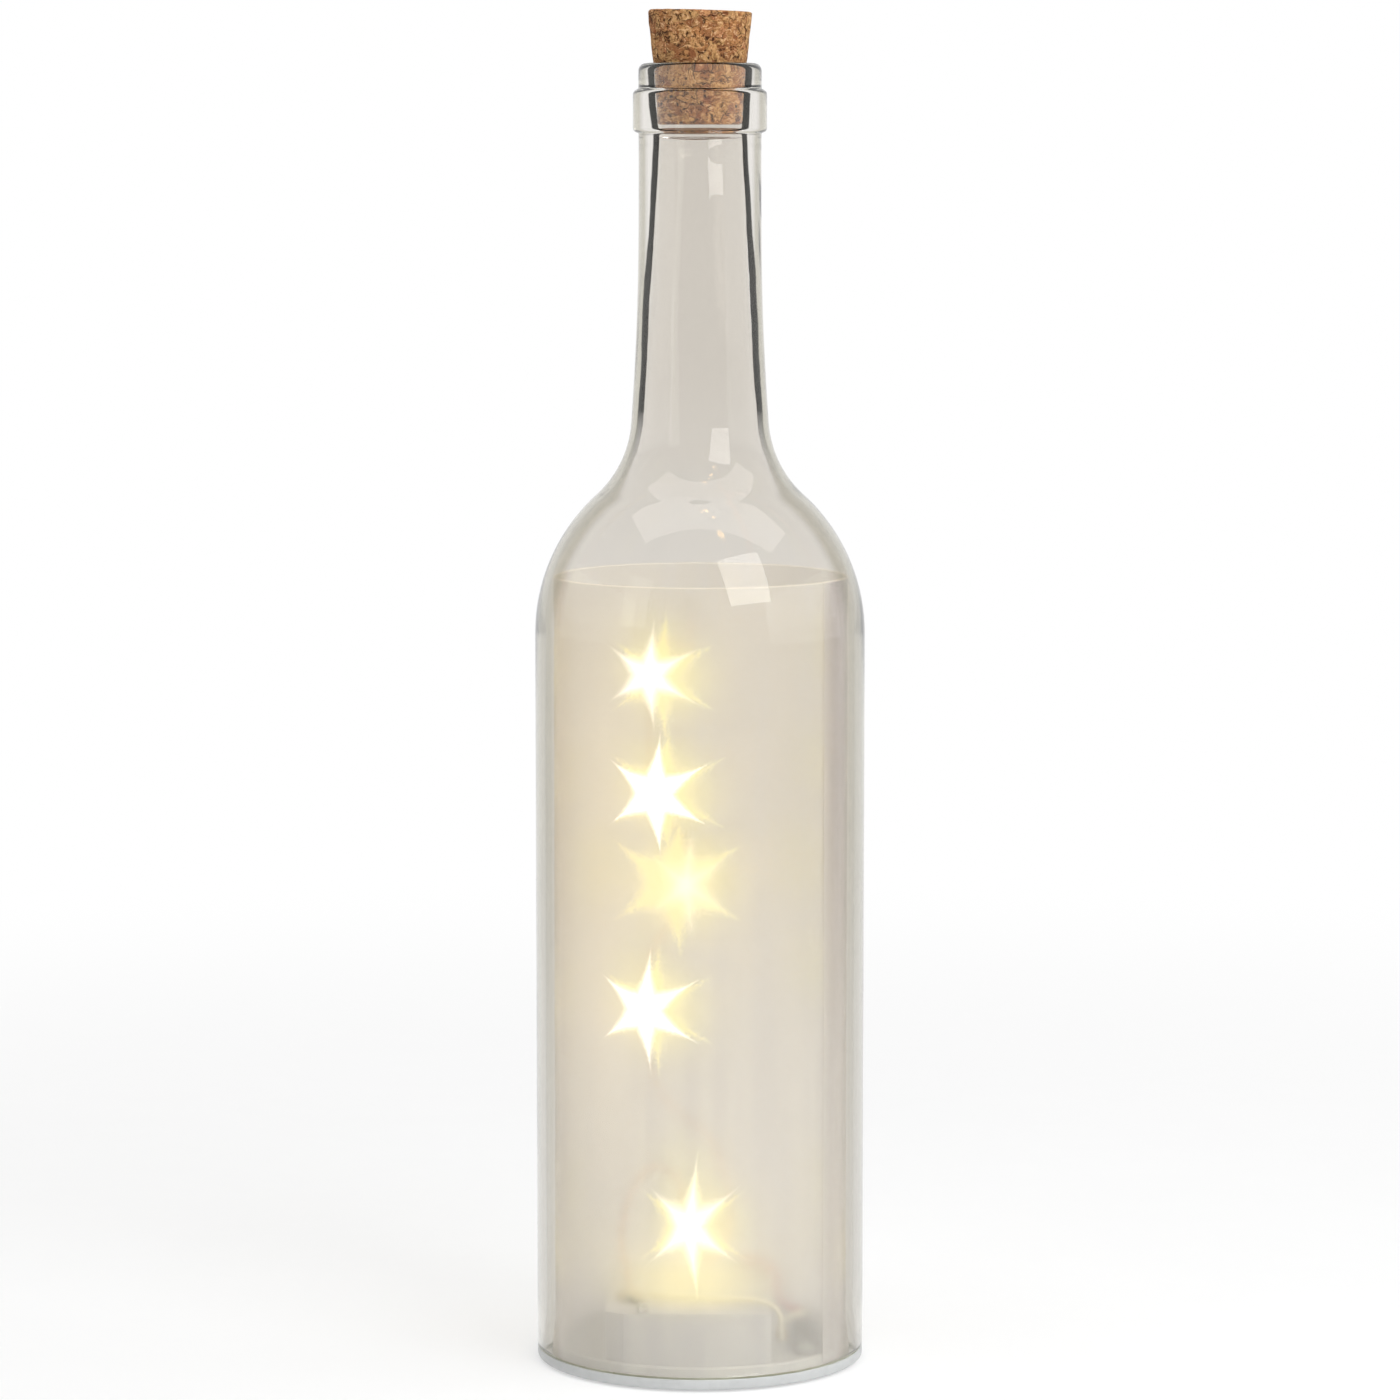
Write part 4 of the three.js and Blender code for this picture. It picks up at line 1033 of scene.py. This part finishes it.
# %% Resin material and the drops
AS_LAMP, IN_MIRROR, LOOKED_AT = 13.0, 7.0, 2.4
resin, skin = new_material("lit_resin")
look = mottle(700.0, (1.0, 0.62, 0.20), (1.0, 0.80, 0.42))
path = rays()
looked_at = most(path["Is Camera Ray"], path["Is Transmission Ray"])
unseen = ease(path["Is Glossy Ray"], 0.0, 1.0, AS_LAMP, IN_MIRROR)
unseen = mul(sub(1.0, looked_at), unseen)
power = add(unseen, mul(looked_at, LOOKED_AT))
dress(skin, Base_Color=look["Colour"], Emission_Color=look["Colour"])
dress(skin, Emission_Strength=power, Roughness=0.18)
drops = mesh_piece("resin_drops", [h * MM for h in heads], [])
layer = drops.data.attributes.new("heading", "FLOAT_VECTOR", "POINT")
for i, way in enumerate(ways):
    layer.data[i].vector = way
run_tree(drops, drop_tree, {"Radius": 0.0017, "Half Length": 0.0031, "Material": resin})
finish_piece(drops, resin, "light_resin", "bottle", *[f"led_{i}" for i in range(1, 6)])

# %% [markdown]
# ## Base
#
# The base is an injection-moulded cap of pale plastic. Its flange is the thin band under the
# glass, with a rounded foot. The CAD mesh could stay, but this band is looked at closely, so the
# form is turned again with finer steps. The openings for the cells, the door and the switch are
# cut with the same shapes as in the CAD part.

# %% Base outline
FLANGE, SPIGOT_OUT, SPIGOT_IN, RECESS = 36.5, 31.72, 30.72, 32.6
FLANGE_ROUND, PLATE_FOOT, PLATE_TOP, FLANGE_TOP, SPIGOT_TOP = 0.7, 1.0, 3.0, 2.4, 4.4
base = turn("base_cap_moulded", [
    *[(r, PLATE_FOOT) for r in (0, 10, 20, RECESS - 0.3)],
    (RECESS - 0.12, 0.82), (RECESS - 0.05, 0.2), (RECESS + 0.1, 0.0), (34.6, 0.0),
    *arc(FLANGE - FLANGE_ROUND, FLANGE_ROUND, FLANGE_ROUND, -90, 0, 6),
    (FLANGE, 1.6), (FLANGE, 2.25), (FLANGE - 0.05, 2.36),
    *[(r, FLANGE_TOP) for r in (FLANGE - 0.15, 33.5, SPIGOT_OUT)],
    (SPIGOT_OUT, 4.0), (SPIGOT_OUT - 0.4, SPIGOT_TOP), (SPIGOT_IN, SPIGOT_TOP),
    *[(r, PLATE_TOP) for r in (SPIGOT_IN, 20, 10, 0)],
], steps=160)


# %% Shapes that cut the base
def block(x, half_x, y0, y1, z0, z1, corner=0.0):
    grown = bmesh.new()
    bmesh.ops.create_cube(grown, size=1.0)
    size = Matrix.Diagonal((2 * half_x, y1 - y0, z1 - z0, 1))
    middle = Matrix.Translation((x, (y0 + y1) / 2, (z0 + z1) / 2))
    bmesh.ops.transform(grown, matrix=middle @ size, verts=grown.verts)
    if corner:
        upright = [e for e in grown.edges if abs(e.verts[0].co.z - e.verts[1].co.z) > 1e-6]
        rounding = dict(offset=corner, segments=6, profile=0.5, affect="EDGES")
        bmesh.ops.bevel(grown, geom=upright, **rounding)
    return grown


def post(radius, x, y, z0, z1):
    grown = bmesh.new()
    form = dict(segments=48, radius1=radius, radius2=radius, depth=z1 - z0)
    bmesh.ops.create_cone(grown, cap_ends=True, **form)
    bmesh.ops.translate(grown, vec=(x, y, (z0 + z1) / 2), verts=grown.verts)
    return grown


def cut_away(piece, shapes):
    for shape in shapes:
        bmesh.ops.scale(shape, vec=(MM, MM, MM), verts=shape.verts)
        mesh = bpy.data.meshes.new("cutter")
        shape.to_mesh(mesh)
        shape.free()
        cutter = bpy.data.objects.new("cutter", mesh)
        bpy.context.scene.collection.objects.link(cutter)
        step = piece.modifiers.new("cut", "BOOLEAN")
        step.object, step.operation, step.solver = cutter, "DIFFERENCE", "EXACT"
        settle(piece, step)
        bpy.data.objects.remove(cutter)


# %% Openings of the base
PACK_X, SWITCH_X, SCREW_Y = -2.5, 23.3, 7.9
BAY_X, BAY_Y, DOOR_X, DOOR_Y, DOOR_CORNER = 16.5, 22.9, 17.5, 23.9, 2.5
TAB_X, TAB_HALF, SLOT_X, SLOT_Y, SCREW_R = 9.625, 2.8, 1.4, 3.1, 1.2
THUMB_R, THUMB_IN, THUMB_TOP = 6, 1.6, 2.1
CUT_LOW, CUT_HIGH, TAB_FOOT, TAB_Y = 0.5, 4, 1.4, (BAY_Y - 0.5, DOOR_Y + 1.4)
cut_away(base, [
    block(PACK_X, BAY_X, -BAY_Y, BAY_Y, 0, CUT_HIGH),
    block(PACK_X, DOOR_X, -DOOR_Y, DOOR_Y, CUT_LOW, FLANGE_TOP, DOOR_CORNER),
    *[block(PACK_X + s * TAB_X, TAB_HALF, *TAB_Y, TAB_FOOT, CUT_HIGH) for s in (-1, 1)],
    post(THUMB_R, PACK_X, -DOOR_Y + THUMB_IN, CUT_LOW, THUMB_TOP),
    block(SWITCH_X, SLOT_X, -SLOT_Y, SLOT_Y, 0, CUT_HIGH),
    *[post(SCREW_R, SWITCH_X, s * SCREW_Y, TAB_FOOT, CUT_HIGH) for s in (-1, 1)],
])
soften_edges(base, 35)
print("base:", len(base.data.polygons), "faces after the cuts")

# %% Finishes of the base, the case and the contacts
# dark and light tone, range of roughness, metallic, scale of the mottling and its bump
LOOKS = {
    "pale_moulded_plastic": ((0.52, 0.53, 0.53), (0.58, 0.59, 0.59), (0.36, 0.5), 0.0, 520, 0.05),
    "grey_case_plastic": ((0.52, 0.525, 0.54), (0.59, 0.595, 0.61), (0.42, 0.6), 0.0, 480, 0.14),
    "black_switch_plastic": ((0.018, 0.018, 0.02), (0.035, 0.034, 0.034), (0.4, 0.62), 0.0, 600, 0.2),
    "plated_contact_steel": ((0.56, 0.56, 0.54), (0.72, 0.72, 0.70), (0.2, 0.36), 0.95, 800, 0.1),
    "clear_adhesive": ((0.26, 0.26, 0.19), (0.38, 0.38, 0.30), (0.2, 0.4), 0.0, 300, 0.3),
}
pale, grey, black, steel, glue = (mottled(name, *look) for name, look in LOOKS.items())
finish_piece(base, pale, "base_plastic", "bottle", "base_cap")

# %% [markdown]
# ## Small pieces
#
# The pieces on the base are seen only as a blur through the film, or from below with the door
# open, so the CAD meshes stay and take a finish. The three cells are the exception: their round
# jackets show when the door is open, so they are turned again with more steps and a rolled edge.

# %% Jacket of the cells
jacket, skin = new_material("cell_jacket")
look = mottle(600.0, (0.05, 0.10, 0.06), (0.08, 0.15, 0.09))
end = mottle(600.0, (0.62, 0.62, 0.60), (0.74, 0.74, 0.72))
sleeve = mix(ease(stored("band"), 0.4, 0.6), look["Colour"], (0.62, 0.38, 0.14))
sleeve = mix(ease(stored("bare"), 0.4, 0.6), sleeve, end["Colour"])
worn = ease(look["Wear"], 0.0, 1.0, 0.24, 0.4)
dress(skin, Base_Color=sleeve, Roughness=worn, Metallic=0.6)

# %% Cells
CAN_R, CAN_ROUND, CELL_Z, BARE_R, BAND_FROM = 5.25, 0.5, 7.95, 4.6, 6.2
CELLS = ((-13.3, 1), (-2.5, -1), (8.3, 1))
can = [
    (0, -21.05), (3.0, -21.05), (4.2, -21.0), *arc(CAN_R - CAN_ROUND, -20.55, CAN_ROUND, -90, 0, 4),
    *[(CAN_R, z) for z in (-15, 6, 6.4, 14)], *arc(CAN_R - CAN_ROUND, 21.95, CAN_ROUND, 0, 90, 4),
    (4.2, 22.4), (2.3, 22.45), *arc(2.1, 22.65, 0.2, -90, -180, 2),
    *arc(1.6, 23.15, 0.3, 0, 90, 4), (0, 23.45),
]
for i, (x, facing) in enumerate(CELLS, 1):
    cell = turn(f"cell_{i}", can, steps=56)
    points = [v.co / MM for v in cell.data.vertices]
    bare = [1.0 if hypot(p.x, p.y) < BARE_R else 0.0 for p in points]
    keep(cell.data, bare=bare, band=[1.0 if p.z > BAND_FROM else 0.0 for p in points])
    to_y = Matrix.Rotation(radians(-90 * facing), 4, "X")
    cell.data.transform(Matrix.Translation((x * MM, 0, CELL_Z * MM)) @ to_y)
    soften_edges(cell, 50)
    finish_piece(cell, jacket, "cell_jacket", "bottle", f"battery_{i}")

# %% Finishes on the CAD pieces
melt = mottled(
    "hot_melt", (0.70, 0.60, 0.42), (0.80, 0.72, 0.54),
    (0.25, 0.4), 0.0, 300.0, 0.3, Transmission_Weight=0.35)
SLEEVE = (0.4, 0.55)
yellow = mottled("yellow_sleeve", (0.76, 0.71, 0.54), (0.84, 0.79, 0.62), SLEEVE)
finishes = {
    "adhesive_ring": glue, "battery_door": pale, "battery_case": grey,
    "switch_body": black, "switch_slider": black, "wire_exit_glue": melt, "wire_tail_glue": melt,
    "lead_black": mottled("black_sleeve", (0.015, 0.015, 0.016), (0.03, 0.03, 0.03), SLEEVE),
    "lead_red": mottled("red_sleeve", (0.42, 0.035, 0.025), (0.55, 0.06, 0.04), SLEEVE),
    "lead_switch": yellow, "lead_light": yellow,
    "resistor": mottled("resistor_coat", (0.50, 0.40, 0.24), (0.62, 0.50, 0.32)),
}
for name in node:
    if name.startswith(("contact_", "battery_spring_", "switch_terminal_", "switch_screw_")):
        finishes[name] = steel
for name, material in finishes.items():
    node[name].data.materials.clear()
    node[name].data.materials.append(material)
print("CAD pieces with a finish:", len(finishes))

# %% [markdown]
# ## Studio
#
# The object stands on a pale floor in a white room. The world shows white to the camera and to
# every ray that glass bends or mirrors, while the light it gives is weaker. A wide panel overhead
# and a key at the right shape the shoulder. Each of them is two lamps in one place: one that
# lights, and a cooler one that only shines in the glass. A fill at the left only lights. Two
# strips at the sides only shine: they give the bottle its pale edges.

# %% World
WORLD_LIGHT = 0.38
scene = bpy.context.scene
scene.view_settings.view_transform = "Standard"
world = bpy.data.worlds.new("white_room")
scene.world = world
world.use_nodes = True
take_up(world.node_tree)
strength = add(mul(seen_rays(1.0), 1 - WORLD_LIGHT), WORLD_LIGHT)
sky = put("ShaderNodeBackground", {"Color": WHITE, "Strength": strength})
wire(sky[0], make("ShaderNodeOutputWorld").inputs["Surface"])
print("world: white to look at, light", WORLD_LIGHT)

# %% Floor
FLOOR_HALF, FLOOR_Z = 8, -0.0004
floor_mat, skin = new_material("pale_floor")
look = mottle(60.0, (0.92, 0.92, 0.92), (0.94, 0.94, 0.94))
dress(skin, Base_Color=look["Colour"], Roughness=0.9)
seen = seen_rays(ease(length_of(own_place()), 0.12, 0.75, 0.55, 1.0))
lift = put("ShaderNodeEmission", {"Color": WHITE, "Strength": 1.0})[0]
show(put("ShaderNodeMixShader", {0: seen, 1: skin.outputs[0], 2: lift}))
square = ((-1, -1), (1, -1), (1, 1), (-1, 1))
corners = [(x * FLOOR_HALF, y * FLOOR_HALF, FLOOR_Z) for x, y in square]
floor = mesh_piece("floor", corners, [[0, 1, 2, 3]])
floor.data.materials.append(floor_mat)


# %% Lamps
def softbox(name, place, aim, width, height, radiance, shine=True, light=True, tone=(1, 1, 1)):
    lamp = bpy.data.lights.new(name, "AREA")
    lamp.shape, lamp.size, lamp.size_y = "RECTANGLE", width, height
    lamp.energy = radiance * pi * width * height
    lamp.color = tone
    made = bpy.data.objects.new(name, lamp)
    made.location = place
    made.rotation_euler = (Vector(aim) - Vector(place)).to_track_quat("-Z", "Y").to_euler()
    made.visible_glossy, made.visible_diffuse = shine, light
    scene.collection.objects.link(made)
    print(name, "energy", round(lamp.energy, 2))


PANEL = ((0.17, -0.05, 1.15), (0.17, -0.05, 0.0), 1.75, 0.60)
KEY = ((0.62, -0.80, 0.78), (0, 0, 0.16), 0.66, 0.72)
softbox("panel_overhead", *PANEL, 2.2, shine=False)
softbox("panel_shine", *PANEL, 1.75, light=False, tone=(0.90, 0.96, 1.0))
softbox("key_right", *KEY, 5.0, shine=False)
softbox("key_shine", *KEY, 7.6, light=False, tone=(0.72, 0.90, 1.0))
for name, side in (("strip_left", -1), ("strip_right", 1)):
    softbox(name, (side * 0.99, -0.16, 0.34), (0, 0, 0.24), 1.3, 0.50, 0.40, light=False)
softbox("fill_left", (-0.85, -0.75, 0.45), (0, 0, 0.15), 0.40, 0.70, 1.1, shine=False)

# %% Camera
LOOK_DOWN = 6.24
camera = bpy.data.cameras.new("camera")
camera.lens, camera.sensor_width = 130.4, 36.0
camera.clip_start, camera.clip_end = 0.01, 50.0
eye = bpy.data.objects.new("camera", camera)
eye.location = (0.0, -VIEW_FAR, VIEW_HIGH)
eye.rotation_euler = (radians(90 - LOOK_DOWN), 0.0, 0.0)
scene.collection.objects.link(eye)
scene.camera = eye
print("camera:", VIEW_FAR, "m away,", VIEW_HIGH, "m up")
